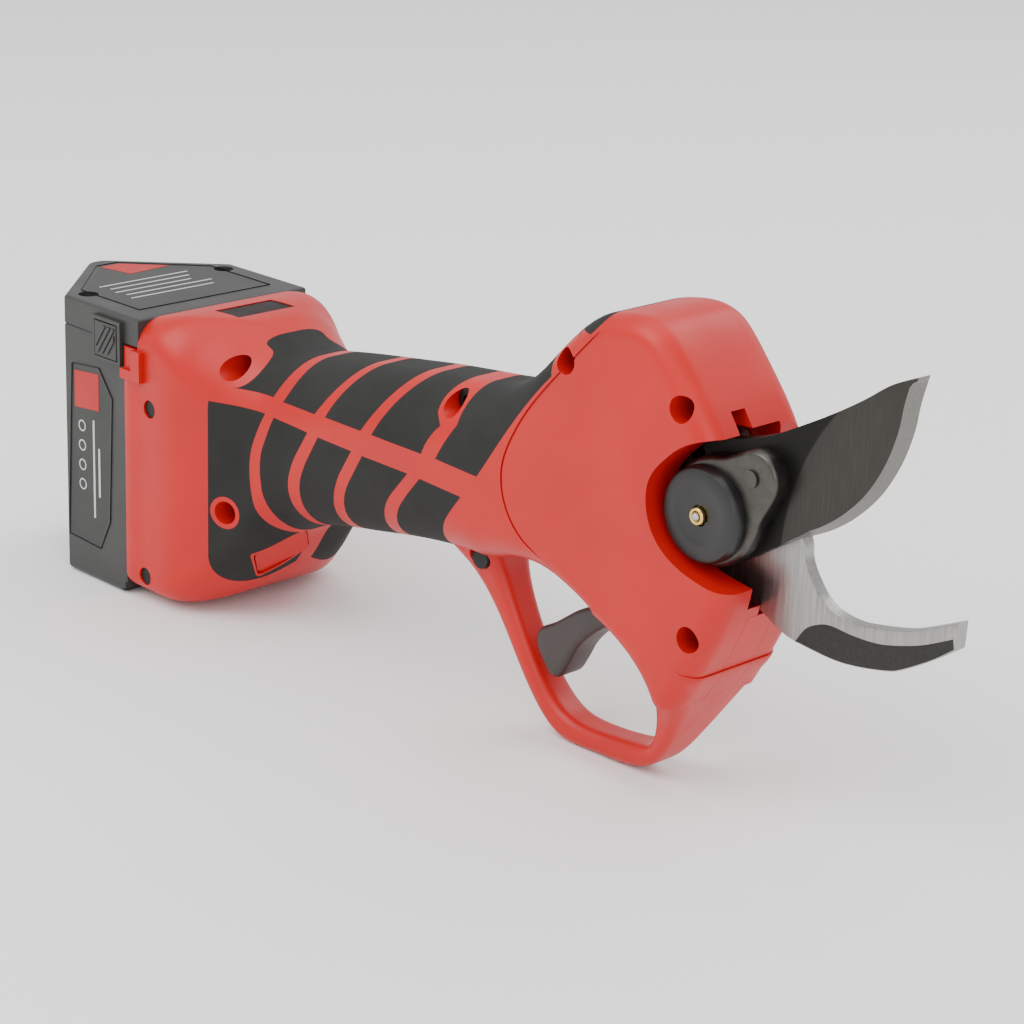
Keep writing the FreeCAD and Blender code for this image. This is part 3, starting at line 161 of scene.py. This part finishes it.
def metal(name, first, second, rough, along=(1.0, 1.0, 1.0), line_mm=0.4, depth_mm=0.01, metallic=1.0):
    """Steel, brass or aluminium with tool marks drawn out across the given direction."""
    line_gloss = 0.08
    material, tree, shader, place = start(name)
    shader.inputs["Metallic"].default_value = metallic
    stretched = add(tree, "ShaderNodeMapping", {"Scale": along}, {"Vector": place}).outputs["Vector"]
    lines = mottle(tree, stretched, line_mm, 0.0, 1.0, 4.0)
    cloud = mottle(tree, place, 12.0, -0.04, 0.06)
    tree.links.new(tint(tree, lines, first, second), shader.inputs["Base Color"])
    spread = add(tree, "ShaderNodeMath", {1: line_gloss, 2: rough}, {0: lines}, operation="MULTIPLY_ADD")
    total = add(tree, "ShaderNodeMath", None, {0: spread.outputs[0], 1: cloud}, operation="ADD")
    tree.links.new(total.outputs[0], shader.inputs["Roughness"])
    bump = add(tree, "ShaderNodeBump", {"Strength": 0.35, "Distance": depth_mm * MM}, {"Height": lines})
    tree.links.new(bump.outputs["Normal"], shader.inputs["Normal"])
    return material


def blade_steel(name, coated, ground):
    """Coated blade steel, darker outside the hollow-ground circle of its face."""
    material, tree, shader, place = start(name)
    shader.inputs["Metallic"].default_value = 0.85
    centre = (GRIND_X * MM, 0.0, GRIND_Z * MM)
    gap = add(tree, "ShaderNodeVectorMath", {1: centre}, {0: place}, operation="SUBTRACT")
    flat = add(tree, "ShaderNodeVectorMath", {1: (1.0, 0.0, 1.0)}, {0: gap.outputs[0]}, operation="MULTIPLY")
    reach = add(tree, "ShaderNodeVectorMath", None, {0: flat.outputs[0]}, operation="LENGTH")
    fade = {"From Min": (GRIND_R + GRIND_BLEND) * MM, "From Max": (GRIND_R - GRIND_BLEND) * MM}
    inside = add(tree, "ShaderNodeMapRange", fade, {"Value": reach.outputs["Value"]}).outputs["Result"]
    stretched = add(tree, "ShaderNodeMapping", {"Rotation": (0.0, 0.9, 0.0), "Scale": (1.0, 1.0, 0.06)},
                    {"Vector": place}).outputs["Vector"]
    lines = mottle(tree, stretched, 0.5, 0.0, 1.0, 4.0)
    cloud = mottle(tree, place, 14.0, 0.0, 0.5)
    streak = add(tree, "ShaderNodeMath", None, {0: lines, 1: cloud}, operation="MULTIPLY")
    coat = tint(tree, cloud, coated, "#272625")
    bare = tint(tree, streak.outputs[0], ground, "#464441")
    mix = add(tree, "ShaderNodeMix", None, {MIX_FACTOR: inside, MIX_FIRST: coat, MIX_SECOND: bare},
              data_type="RGBA")
    tree.links.new(mix.outputs[MIX_RESULT], shader.inputs["Base Color"])
    rough = add(tree, "ShaderNodeMapRange", {"To Min": 0.44, "To Max": 0.34}, {"Value": inside})
    tree.links.new(rough.outputs["Result"], shader.inputs["Roughness"])
    bump = add(tree, "ShaderNodeBump", {"Strength": 0.3, "Distance": 0.01 * MM}, {"Height": lines})
    tree.links.new(bump.outputs["Normal"], shader.inputs["Normal"])
    return material


def printed_label(name, base):
    """Dark satin label film."""
    material, tree, shader, place = start(name)
    cloud = mottle(tree, place, 10.0, 0.0, 1.0)
    tree.links.new(tint(tree, cloud, base, "#2A2A29"), shader.inputs["Base Color"])
    shader.inputs["Roughness"].default_value = 0.5
    return material


MATERIALS = {}


def make_materials():
    look = bpy.context.scene.pruner_look
    made = {
        # glass-filled nylon, satin
        "red": moulded("moulded_red_nylon", look.red, "#BC0A07", 0.4, 0.35, 0.015, specular=0.4),
        # thermoplastic rubber, dead matte with a pebbled skin
        "rubber": moulded("pebbled_grip_rubber", look.rubber, "#242423", 0.8, 0.45, 0.09, specular=0.3),
        "battery": moulded("battery_case_abs", look.battery, "#2E2E2D", 0.46, 0.4, 0.02),
        "trigger": moulded("trigger_brown_nylon", "#2B2320", "#322926", 0.45, 0.5, 0.03),
        "knob": moulded("knob_black_nylon", "#0F0F0F", "#151515", 0.38, 0.5, 0.015),
        "window": moulded("tinted_window_acrylic", "#120504", "#170806", 0.42, 2.0, 0.002, specular=0.12),
        "black": moulded("black_moulding", "#1E1E1E", "#262626", 0.5, 0.6, 0.02),
        "wire": moulded("wire_jacket_pvc", "#222222", "#2C2C2C", 0.45, 1.5, 0.005),
        "wrap": moulded("cell_shrink_film", "#2F6F93", "#357AA0", 0.35, 3.0, 0.005, coat=0.3),
        "board": moulded("solder_mask_board", "#1E5B36", "#26683F", 0.35, 0.8, 0.01, coat=0.3),
        "label": printed_label("printed_label_film", "#232322"),
        "mark": moulded("red_label_print", "#A80604", "#B00A08", 0.5, 1.0, 0.004),
        "blade": blade_steel("coated_blade_steel", look.coating, "#373532"),
        # stamped and tumbled steel, dark
        "bracket": metal("tumbled_bracket_steel", "#4B4946", "#585652", 0.34, line_mm=2.5),
        "hook": metal("ground_hook_steel", "#8E8D8B", "#A8A7A5", 0.3, along=(1.0, 1.0, 0.05), line_mm=0.5,
                      depth_mm=0.012),
        "hook_dark": metal("coated_hook_steel", "#2C2C2B", "#353534", 0.45, line_mm=0.8, metallic=0.7),
        "bevel": metal("honed_bevel_steel", "#6E6C68", "#807E7A", 0.3, line_mm=0.3),
        "screw": metal("blackened_screw_steel", "#1C1C1C", "#262626", 0.4, line_mm=0.6, metallic=0.6),
        "ink": moulded("pale_label_print", "#B8B8B6", "#C4C4C2", 0.5, 1.0, 0.004),
        "steel": metal("zinc_plated_steel", "#A9A9A8", "#BDBDBB", 0.32, line_mm=0.8),
        "brass": metal("turned_brass", "#D9B45C", "#E8C878", 0.25, line_mm=0.3),
        "copper": metal("copper_winding", "#B8703F", "#C98050", 0.35, along=(0.1, 1.0, 1.0), line_mm=0.8),
        "alloy": metal("machined_aluminium", "#B4B5B8", "#C6C7CA", 0.34, line_mm=0.4),
    }
    MATERIALS.update(made)


# ---- shared shape helpers ----------------------------------------------------------------------
def smooth_line(points, steps=6):
    """Points along a smooth curve through the given ones."""
    ends = [points[0]] + list(points) + [points[-1]]
    out = []
    for i in range(1, len(ends) - 2):
        p0, p1, p2, p3 = (Vector(p) for p in ends[i - 1:i + 3])
        for k in range(steps):
            t = k / steps
            out.append(0.5 * (2 * p1 + (p2 - p0) * t + (2 * p0 - 5 * p1 + 4 * p2 - p3) * t ** 2
                              + (3 * p1 - p0 - 3 * p2 + p3) * t ** 3))
    out.append(Vector(points[-1]))
    return out


def plate_mesh(points, y0, y1):
    """Flat plate between two heights of Y from its XZ outline, in millimetres."""
    bm = bmesh.new()
    ring = [bm.verts.new((x * MM, y1 * MM, z * MM)) for x, z in points]
    face = bm.faces.new(ring)
    made = bmesh.ops.extrude_face_region(bm, geom=[face])
    moved = [v for v in made["geom"] if isinstance(v, bmesh.types.BMVert)]
    bmesh.ops.translate(bm, verts=moved, vec=(0, (y0 - y1) * MM, 0))
    bmesh.ops.recalc_face_normals(bm, faces=bm.faces)
    return bm


def patch_mesh(corners, lift):
    """Thin flat field through its corners, raised by lift, all in millimetres."""
    bm = bmesh.new()
    face = bm.faces.new([bm.verts.new(Vector(c) * MM) for c in corners])
    raise_faces(bm, [face], lift)
    return bm


def rim_mesh(corners, width, lift):
    """Raised line that runs round a field, inside its corners."""
    bm = bmesh.new()
    face = bm.faces.new([bm.verts.new(Vector(c) * MM) for c in corners])
    line = bmesh.ops.inset_region(bm, faces=[face], thickness=width * MM,
                                  use_boundary=True, use_even_offset=True)["faces"]
    bmesh.ops.delete(bm, geom=[face], context="FACES")
    raise_faces(bm, line, lift)
    return bm


def ring_mesh(centre, outer, inner, lift):
    """Small printed ring on a side face."""
    bm = bmesh.new()
    spin = Matrix.Translation(Vector(centre) * MM) @ Matrix.Rotation(math.pi / 2, 4, "X")
    bmesh.ops.create_circle(bm, cap_ends=True, segments=32, radius=outer * MM, matrix=spin)
    face = bm.faces[:][0]
    line = bmesh.ops.inset_region(bm, faces=[face], thickness=(outer - inner) * MM,
                                  use_boundary=True)["faces"]
    bmesh.ops.delete(bm, geom=[face], context="FACES")
    raise_faces(bm, line, (0, lift, 0))
    return bm


def raise_faces(bm, faces, lift):
    """Thicken flat faces along lift."""
    made = bmesh.ops.extrude_face_region(bm, geom=faces)
    moved = [v for v in made["geom"] if isinstance(v, bmesh.types.BMVert)]
    bmesh.ops.translate(bm, verts=moved, vec=Vector(lift) * MM)
    bmesh.ops.recalc_face_normals(bm, faces=bm.faces)


def round_edges(bm, edges, width, segments=3):
    bmesh.ops.bevel(bm, geom=edges, offset=width, offset_type="OFFSET", segments=segments, profile=0.5,
                    affect="EDGES", material=-1, clamp_overlap=True)


def edges_at(bm, axis, value, spread=0.01 * MM):
    """Edges that lie wholly at one place along an axis."""
    return [e for e in bm.edges if all(abs(v.co[axis] - value) < spread for v in e.verts)]


def spin_profile(profile, y_of, steps=64):
    """Turned piece about the pivot line: profile holds radius and Y, in millimetres."""
    bm = bmesh.new()
    verts = [bm.verts.new(((PIVOT[0] + r) * MM, y * MM, PIVOT[1] * MM)) for r, y in profile]
    edges = [bm.edges.new(pair) for pair in zip(verts, verts[1:])]
    bmesh.ops.spin(bm, geom=verts + edges, cent=(PIVOT[0] * MM, y_of * MM, PIVOT[1] * MM), axis=(0, 1, 0),
                   dvec=(0, 0, 0), angle=math.tau, steps=steps, use_merge=True, use_duplicate=False)
    bmesh.ops.remove_doubles(bm, verts=bm.verts, dist=0.001 * MM)
    bmesh.ops.recalc_face_normals(bm, faces=bm.faces)
    return bm


def shade(mesh, angle):
    """Smooth shading, sharp where faces meet at more than the angle."""
    bm = bmesh.new()
    bm.from_mesh(mesh)
    for face in bm.faces:
        face.smooth = True
    for edge in bm.edges:
        edge.smooth = not (edge.is_manifold and edge.calc_face_angle(0.0) > math.radians(angle))
    bm.to_mesh(mesh)
    bm.free()


def finish_piece(name, bm, body, material, nodes=(), angle=32):
    """Turn a bmesh into a piece that rides on a body and stands for CAD nodes."""
    mesh = bpy.data.meshes.new(name)
    bm.to_mesh(mesh)
    bm.free()
    shade(mesh, angle)
    piece = bpy.data.objects.new(name, mesh)
    bpy.context.scene.collection.objects.link(piece)
    for key in ([material] if isinstance(material, str) else material):
        mesh.materials.append(MATERIALS[key])
    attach(piece, body)
    if nodes:
        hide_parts(*nodes)
    return piece


def merged_copy(node):
    """CAD node's mesh with its loose triangles joined."""
    bm = bmesh.new()
    bm.from_mesh(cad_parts[node].data)
    bmesh.ops.remove_doubles(bm, verts=bm.verts, dist=0.002 * MM)
    return bm


def open_seam(bm, height, width):
    """Small chamfer on the outer edge at a height, so that two mouldings show their joint line."""
    flat = math.radians(1.0)
    upright = 0.1
    level = 0.9
    bmesh.ops.dissolve_limit(bm, angle_limit=flat, verts=bm.verts, edges=bm.edges)
    rim = []
    for edge in bm.edges:
        if all(abs(v.co.z - height) < 0.01 * MM for v in edge.verts) and len(edge.link_faces) == 2:
            middle = (edge.verts[0].co + edge.verts[1].co) / 2
            walls = [f for f in edge.link_faces if abs(f.normal.z) < upright]
            lids = [f for f in edge.link_faces if abs(f.normal.z) > level]
            if walls and lids and walls[0].normal.dot(Vector((middle.x, middle.y, 0))) > 0:
                rim.append(edge)
    bmesh.ops.bevel(bm, geom=rim, offset=width, offset_type="OFFSET", segments=1, profile=0.5,
                    affect="EDGES", material=-1, clamp_overlap=False)


def smooth_copy(node, body, material, angle=28):
    """Merged and smooth-shaded copy of a CAD node, with its own finish."""
    bm = merged_copy(node)
    return finish_piece(node + "_skin", bm, body, material, [node], angle)


def paint(nodes, material):
    for node in nodes:
        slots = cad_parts[node].data.materials
        slots.clear()
        slots.append(MATERIALS[material])


# ---- one operator per piece ------------------------------------------------------------------------
class PieceOperator:
    """Settings that every piece's operator shares"""
    bl_options = {"REGISTER"}


class PRUNER_OT_finishes(PieceOperator, bpy.types.Operator):
    """Make every finish"""
    bl_idname = "pruner.finishes"
    bl_label = "Finishes"

    def execute(self, context):
        make_materials()
        return {"FINISHED"}


class PRUNER_OT_shell(PieceOperator, bpy.types.Operator):
    """Two red half shells, the finger guard and the power button"""
    bl_idname = "pruner.shell"
    bl_label = "Shell and guard"

    def execute(self, context):
        for node in ("housing_right", "housing_left", "trigger_guard"):
            smooth_copy(node, "housing", "red")
        smooth_copy("power_button", "button", "red")
        smooth_copy("display_window", "housing", "window")
        return {"FINISHED"}


class PRUNER_OT_grip(PieceOperator, bpy.types.Operator):
    """Rubber panels of the handle"""
    bl_idname = "pruner.grip"
    bl_label = "Grip rubber"

    def execute(self, context):
        for node in ("grip_rubber_right", "grip_rubber_left"):
            smooth_copy(node, "housing", "rubber")
        return {"FINISHED"}


class PRUNER_OT_cutting_blade(PieceOperator, bpy.types.Operator):
    """Moving blade with its ground bevel"""
    bl_idname = "pruner.cutting_blade"
    bl_label = "Cutting blade"

    def execute(self, context):
        width = context.scene.pruner_sizes.bevel_width / MM
        tail = smooth_line([(196.0, 82.6), (191.6, 81.6), (190.0, 77.6), (190.6, 74.6), (189.7, 68.6),
                            (191.6, 61.4), (196.2, 57.4), (202.0, 56.4), (208.6, 58.4)])
        edge = smooth_line([(208.6, 58.4), (217.6, 64.2), (223.1, 67.0), (228.7, 70.0), (234.5, 74.4),
                            (240.0, 80.4), (244.2, 87.7), (246.7, 95.0), (247.7, 101.0), (249.3, 107.2)])
        spine = smooth_line([(249.3, 107.2), (243.1, 104.4), (236.5, 99.8), (229.5, 95.4), (221.1, 90.7),
                             (213.3, 86.7), (205.0, 83.9), (196.0, 82.6)])
        points = [tuple(p) for p in tail[:-1] + edge[:-1] + spine[:-1]]
        bm = plate_mesh(points, BLADE_NEAR, BLADE_FAR)
        # the bevel: near side of the cutting edge drawn in across the blade, fading at heel and tip
        heel = 6
        heel_fade = 9.0
        tip_fade = 3.0
        near_span = 1.6
        flat_face = 0.95
        count = len(edge)
        near = {}
        for v in bm.verts:
            if abs(v.co.y - BLADE_NEAR * MM) < 0.001 * MM:
                near[(round(v.co.x / MM, 3), round(v.co.z / MM, 3))] = v
        for i in range(heel, count - 2):
            here = edge[i]
            way = (edge[min(i + 1, count - 1)] - edge[i - 1]).normalized()
            inward = Vector((-way.y, way.x))
            grow = min(1.0, (i - heel) / heel_fade, (count - 1 - i) / tip_fade)
            vert = near[(round(here.x, 3), round(here.y, 3))]
            vert.co += Vector((inward.x, 0, inward.y)) * width * grow * MM
        piece = finish_piece("cutting_blade_ground", bm, "blade", ["blade", "bevel"], ["cutting_blade"],
                             angle=20)
        line = [Vector((p.x * MM, 0, p.y * MM)) for p in edge[heel + 2:]]
        for face in piece.data.polygons:
            centre = face.center
            near_edge = min((Vector((centre.x, 0, centre.z)) - p).length for p in line) < near_span * MM
            if near_edge and abs(face.normal.y) < flat_face:
                face.material_index = 1
        return {"FINISHED"}


class PRUNER_OT_counter_blade(PieceOperator, bpy.types.Operator):
    """Fixed hook with a bright ground face and a dark relief along its back"""
    bl_idname = "pruner.counter_blade"
    bl_label = "Counter blade"

    def execute(self, context):
        inner = smooth_line([(209.0, 74.4), (216.0, 70.0), (220.5, 65.5), (221.4, 61.0), (223.5, 57.2),
                             (226.5, 53.9), (230.0, 52.1), (234.5, 51.4), (239.1, 51.8), (247.4, 53.5),
                             (252.7, 55.5), (261.0, 59.3)])
        outer = smooth_line([(260.7, 53.4), (254.9, 49.3), (247.9, 45.2), (244.1, 43.8), (236.6, 42.4),
                             (229.9, 42.0), (220.1, 42.9), (215.6, 44.2), (210.9, 46.6)])
        root = [(204.0, 49.6), (190.0, 51.8), (176.6, 53.6), (176.6, 70.4), (187.0, 71.6), (194.0, 74.6),
                (201.2, 76.8)]
        points = [tuple(p) for p in inner + outer] + root
        face = HOOK_NEAR + 0.02
        bm = plate_mesh(points, face, HOOK_FAR)
        round_edges(bm, edges_at(bm, 1, face * MM), 0.18 * MM, 2)
        finish_piece("counter_blade_plate", bm, "housing", "hook", ["counter_blade"],
                     angle=25)
        line = smooth_line([(220.1, 42.9), (222.7, 46.6), (226.3, 48.6), (229.6, 49.2), (234.7, 48.8),
                            (241.3, 49.0), (247.1, 50.3), (253.0, 52.3), (259.9, 55.6)])
        back = smooth_line([(260.3, 53.5), (254.8, 49.5), (247.8, 45.4), (244.0, 44.0), (236.6, 42.6),
                            (229.9, 42.2), (221.2, 43.0)])
        relief = plate_mesh([tuple(p) for p in line + back], HOOK_NEAR, HOOK_NEAR + 0.5)
        finish_piece("counter_blade_relief", relief, "housing", "hook_dark", angle=25)
        return {"FINISHED"}


class PRUNER_OT_bracket(PieceOperator, bpy.types.Operator):
    """Stamped bracket on the blade, with its rivet"""
    bl_idname = "pruner.bracket"
    bl_label = "Blade bracket"

    def execute(self, context):
        low, high = [corner[1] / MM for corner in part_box("blade_bracket")]
        ring = smooth_line([(192.7, 74.8), (195.7, 77.8), (199.5, 79.6), (204.5, 80.7), (208.4, 82.5),
                            (211.4, 83.8), (214.5, 83.9), (217.1, 82.6), (218.9, 79.6), (218.8, 76.4),
                            (217.5, 73.6), (214.8, 68.7), (213.8, 65.4), (211.6, 61.6), (208.0, 58.3),
                            (205.3, 56.8), (201.1, 56.2), (195.6, 57.6), (191.8, 61.4), (190.2, 66.0),
                            (190.4, 70.6), (192.7, 74.8)], 4)[:-1]
        bm = plate_mesh([tuple(p) for p in ring], low, high)
        round_edges(bm, edges_at(bm, 1, low * MM), 1.0 * MM, 4)
        finish_piece("blade_bracket_stamped", bm, "blade", "bracket", ["blade_bracket"],
                     angle=35)
        smooth_copy("bracket_rivet", "blade", "bracket")
        return {"FINISHED"}


class PRUNER_OT_knob(PieceOperator, bpy.types.Operator):
    """Pivot knob, grease nipple and its ball"""
    bl_idname = "pruner.knob"
    bl_label = "Pivot knob"

    def execute(self, context):
        face, back = KNOB_LOW[1], KNOB_HIGH[1]
        profile = [(2.0, back), (2.0, face + 0.9), (2.3, face + 0.35), (5.6, face + 0.2), (6.0, face + 0.12),
                   (6.5, face + 0.0), (7.2, face), (9.3, face), (9.9, face + 0.25), (10.35, face + 0.9),
                   (10.5, face + 1.5), (10.5, back), (2.0, back)]
        finish_piece("pivot_cap_turned", spin_profile(profile, face, 96), "housing", "knob", ["pivot_cap"],
                     angle=25)
        tip, seat = [corner[1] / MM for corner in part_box("grease_nipple")]
        profile = [(0.9, seat), (0.9, tip + 0.5), (1.15, tip + 0.15), (1.3, tip), (1.7, tip),
                   (1.88, tip + 0.2), (1.88, seat), (0.9, seat)]
        finish_piece("grease_nipple_turned", spin_profile(profile, tip, 48), "housing", "brass",
                     ["grease_nipple"], angle=30)
        smooth_copy("nipple_ball", "housing", "steel", 60)
        return {"FINISHED"}


class PRUNER_OT_trigger(PieceOperator, bpy.types.Operator):
    """Trigger lever with rounded edges"""
    bl_idname = "pruner.trigger"
    bl_label = "Trigger"

    def execute(self, context):
        low, high = [corner[1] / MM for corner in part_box("trigger")]
        ring = smooth_line([(166.0, 38.0), (164.2, 35.0), (158.8, 32.0), (152.1, 27.2), (147.8, 24.6),
                            (147.0, 20.8), (149.6, 16.6), (152.0, 14.3), (154.6, 15.0), (157.2, 19.0),
                            (159.6, 23.2), (164.2, 28.0), (169.8, 31.8), (176.0, 34.8), (183.0, 38.2),
                            (184.2, 42.6), (181.6, 46.0), (177.0, 46.0), (171.0, 43.2), (166.0, 43.0),
                            (166.0, 38.0)], 4)[:-1]
        bm = plate_mesh([tuple(p) for p in ring], low, high)
        sides = edges_at(bm, 1, low * MM) + edges_at(bm, 1, high * MM)
        round_edges(bm, sides, 1.4 * MM, 4)
        finish_piece("trigger_lever", bm, "trigger", "trigger", ["trigger"], angle=40)
        return {"FINISHED"}


class PRUNER_OT_battery(PieceOperator, bpy.types.Operator):
    """Battery case and cap, latches and labels"""
    bl_idname = "pruner.battery"
    bl_label = "Battery"

    def execute(self, context):
        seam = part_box("battery_case")[1][2]
        for node in ("battery_case", "battery_cap"):
            bm = merged_copy(node)
            open_seam(bm, seam, context.scene.pruner_sizes.seam_width)
            finish_piece(node + "_skin", bm, "battery", "battery", [node], 24)
        smooth_copy("latch_right", "latch_a", "battery")
        smooth_copy("latch_left", "latch_b", "battery")
        paint(["battery_label_top", "battery_label_side"], "label")
        self.marks()
        return {"FINISHED"}

    def marks(self):
        """Raised rims round the labels, with plain colour fields and rows in place of the print."""
        low, high = [tuple(v / MM for v in corner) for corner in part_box("battery_label_side")]
        rim = [(-2.3, 56.3), (9.1, 57.4), (14.6, 50.5), (13.0, 17.6), (8.8, 9.3), (-4.8, 10.0)]
        for side, y, out in (("right", low[1], -1), ("left", high[1], 1)):
            def at(x, z, y=y):
                return (x, y, z)
            finish_piece("label_rim_" + side, rim_mesh([at(*p) for p in rim], 0.55, (0, 0.3 * out, 0)),
                         "battery", "battery")
            field = [(-1.5, 45.0), (8.7, 45.9), (8.7, 55.6), (-1.5, 54.6)]
            finish_piece("label_field_" + side, patch_mesh([at(*p) for p in field], (0, 0.06 * out, 0)),
                         "battery", "mark")
            for k in range(4):
                spot = (1.4, y, 40.5 - 5.2 * k)
                finish_piece("label_ring_{}_{}".format(side, k + 1), ring_mesh(spot, 1.5, 1.15, 0.05 * out),
                             "battery", "ink")
            for k, (x, top, bottom) in enumerate(((6.0, 43.0, 17.0), (8.2, 36.0, 23.0))):
                row = [(x, top), (x + 0.7, top), (x + 0.7, bottom), (x, bottom)]
                finish_piece("label_row_{}_{}".format(side, k + 1),
                             patch_mesh([at(*p) for p in row], (0, 0.05 * out, 0)),
                             "battery", "ink")
        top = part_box("battery_label_top")[1][2] / MM
        lift = (0, 0, 0.06)
        rim = [(18.2, -20.8), (-6.3, -20.8), (-23.9, -3.3), (-23.9, 3.3), (-6.3, 20.8), (18.2, 20.8)]
        finish_piece("label_rim_top", rim_mesh([(x, y, top) for x, y in rim], 0.5, (0, 0, 0.2)),
                     "battery", "battery")
        field = [(-22.6, -3.0), (-22.6, 3.0), (-13.4, 12.4), (-12.2, -1.0)]
        finish_piece("label_field_top", patch_mesh([(x, y, top) for x, y in field], lift),
                     "battery", "mark")
        for k in range(5):
            x = -6.0 + 3.4 * k
            row = [(x, -15.5 + k % 2), (x + 0.55, -15.5 + k % 2), (x + 0.55, 12.5 - 2 * (k % 3)),
                   (x, 12.5 - 2 * (k % 3))]
            finish_piece("label_row_top_{}".format(k + 1), patch_mesh([(x, y, top) for x, y in row], lift),
                         "battery", "ink")


class PRUNER_OT_inside(PieceOperator, bpy.types.Operator):
    """Finishes of the drive, boards, cells and fasteners"""
    bl_idname = "pruner.inside"
    bl_label = "Inner pieces"

    def execute(self, context):
        groups = {
            "steel": ["motor_can", "motor_rotor", "motor_bearings", "sun_gear", "planet_gear_1",
                      "planet_gear_2", "planet_gear_3", "ring_gear", "planet_carrier", "lead_screw",
                      "screw_bearing", "screw_nut", "drive_link", "link_pin", "crank_pin", "chassis_plate",
                      "counter_blade_screws", "pivot_bolt", "pivot_nut", "trigger_pin", "trigger_spring"],
            "screw": ["housing_screws", "guard_screw", "mount_plate_screws", "cap_screws"],
            "alloy": ["bearing_block"],
            "copper": ["motor_stator"],
            "brass": ["blade_bush", "tool_contacts", "battery_terminals"],
            "board": ["controller_board", "battery_board"],
            "black": ["board_components", "power_switch", "trigger_sensor", "cell_holders",
                      "battery_mount_plate"],
            "wrap": ["battery_cells"],
            "wire": ["wiring"],
        }
        for material, nodes in groups.items():
            paint(nodes, material)
        return {"FINISHED"}


class PRUNER_OT_stage(PieceOperator, bpy.types.Operator):
    """Pale floor, soft studio lights and the camera"""
    bl_idname = "pruner.stage"
    bl_label = "Stage"

    def execute(self, context):
        floor_mesh = bpy.data.meshes.new("floor")
        bm = bmesh.new()
        bmesh.ops.create_grid(bm, x_segments=2, y_segments=2, size=4.0)
        bm.to_mesh(floor_mesh)
        bm.free()
        floor = bpy.data.objects.new("floor", floor_mesh)
        floor.location.z = -0.0002
        context.scene.collection.objects.link(floor)
        material, tree, shader, place = start("pale_studio_floor")
        shader.inputs["Base Color"].default_value = linear("#F4F4F3")
        shader.inputs["Roughness"].default_value = 0.9
        floor_mesh.materials.append(material)

        world = bpy.data.worlds.new("studio")
        world.use_nodes = True
        world.node_tree.nodes["Background"].inputs["Color"].default_value = (1.0, 1.0, 1.0, 1.0)
        world.node_tree.nodes["Background"].inputs["Strength"].default_value = 1.0
        context.scene.world = world

        target = Vector((0.131, 0.0, 0.05))
        lights = (("key", (-0.15, -0.9, 1.0), 0.9, 11.0), ("fill", (1.1, -0.7, 0.5), 0.8, 5.0),
                  ("rim", (0.2, 1.0, 0.9), 0.8, 5.0), ("top", (0.1, 0.0, 1.3), 1.2, 7.0))
        for name, spot, size, power in lights:
            data = bpy.data.lights.new(name, "AREA")
            data.size = size
            data.energy = power
            light = bpy.data.objects.new(name, data)
            light.location = spot
            light.rotation_euler = (target - Vector(spot)).to_track_quat("-Z", "Y").to_euler()
            context.scene.collection.objects.link(light)

        turn, lift, roll = (math.radians(v) for v in (CAMERA_TURN, CAMERA_LIFT, CAMERA_ROLL))
        back = Vector((math.sin(turn) * math.cos(lift), -math.cos(turn) * math.cos(lift), math.sin(lift)))
        right = Vector((math.cos(turn), math.sin(turn), 0.0))
        up = back.cross(right)
        camera_right = right * math.cos(roll) + up * math.sin(roll)
        camera_up = up * math.cos(roll) - right * math.sin(roll)
        data = bpy.data.cameras.new("camera")
        data.sensor_width = 36.0
        data.lens = CAMERA_LENS
        data.clip_start = 0.01
        camera = bpy.data.objects.new("camera", data)
        rotation = Matrix((camera_right, camera_up, back)).transposed()
        centre = Vector(CAMERA_AIM) * MM
        camera.matrix_world = Matrix.Translation(centre + back * CAMERA_AWAY) @ rotation.to_4x4()
        context.scene.collection.objects.link(camera)
        context.scene.camera = camera
        return {"FINISHED"}


PIECES = (PRUNER_OT_finishes, PRUNER_OT_shell, PRUNER_OT_grip, PRUNER_OT_cutting_blade,
          PRUNER_OT_counter_blade, PRUNER_OT_bracket, PRUNER_OT_knob, PRUNER_OT_trigger,
          PRUNER_OT_battery, PRUNER_OT_inside, PRUNER_OT_stage)


class PRUNER_PT_panel(bpy.types.Panel):
    """Buttons for every piece"""
    bl_idname = "PRUNER_PT_panel"
    bl_label = "Pruner"
    bl_space_type = "VIEW_3D"
    bl_region_type = "UI"
    bl_category = "Pruner"

    def draw(self, context):
        for group in (context.scene.pruner_look, context.scene.pruner_sizes):
            for key in group.__annotations__:
                self.layout.prop(group, key)
        for piece in PIECES:
            self.layout.operator(piece.bl_idname)


CLASSES = (PrunerLook, PrunerSizes) + PIECES + (PRUNER_PT_panel,)


def register():
    for cls in CLASSES:
        bpy.utils.register_class(cls)
    bpy.types.Scene.pruner_look = bpy.props.PointerProperty(type=PrunerLook)
    bpy.types.Scene.pruner_sizes = bpy.props.PointerProperty(type=PrunerSizes)


def unregister():
    del bpy.types.Scene.pruner_sizes
    del bpy.types.Scene.pruner_look
    for cls in reversed(CLASSES):
        bpy.utils.unregister_class(cls)


def main():
    register()
    for piece in PIECES:
        area, name = piece.bl_idname.split(".")
        getattr(getattr(bpy.ops, area), name)()


if __name__ == "__main__":
    main()
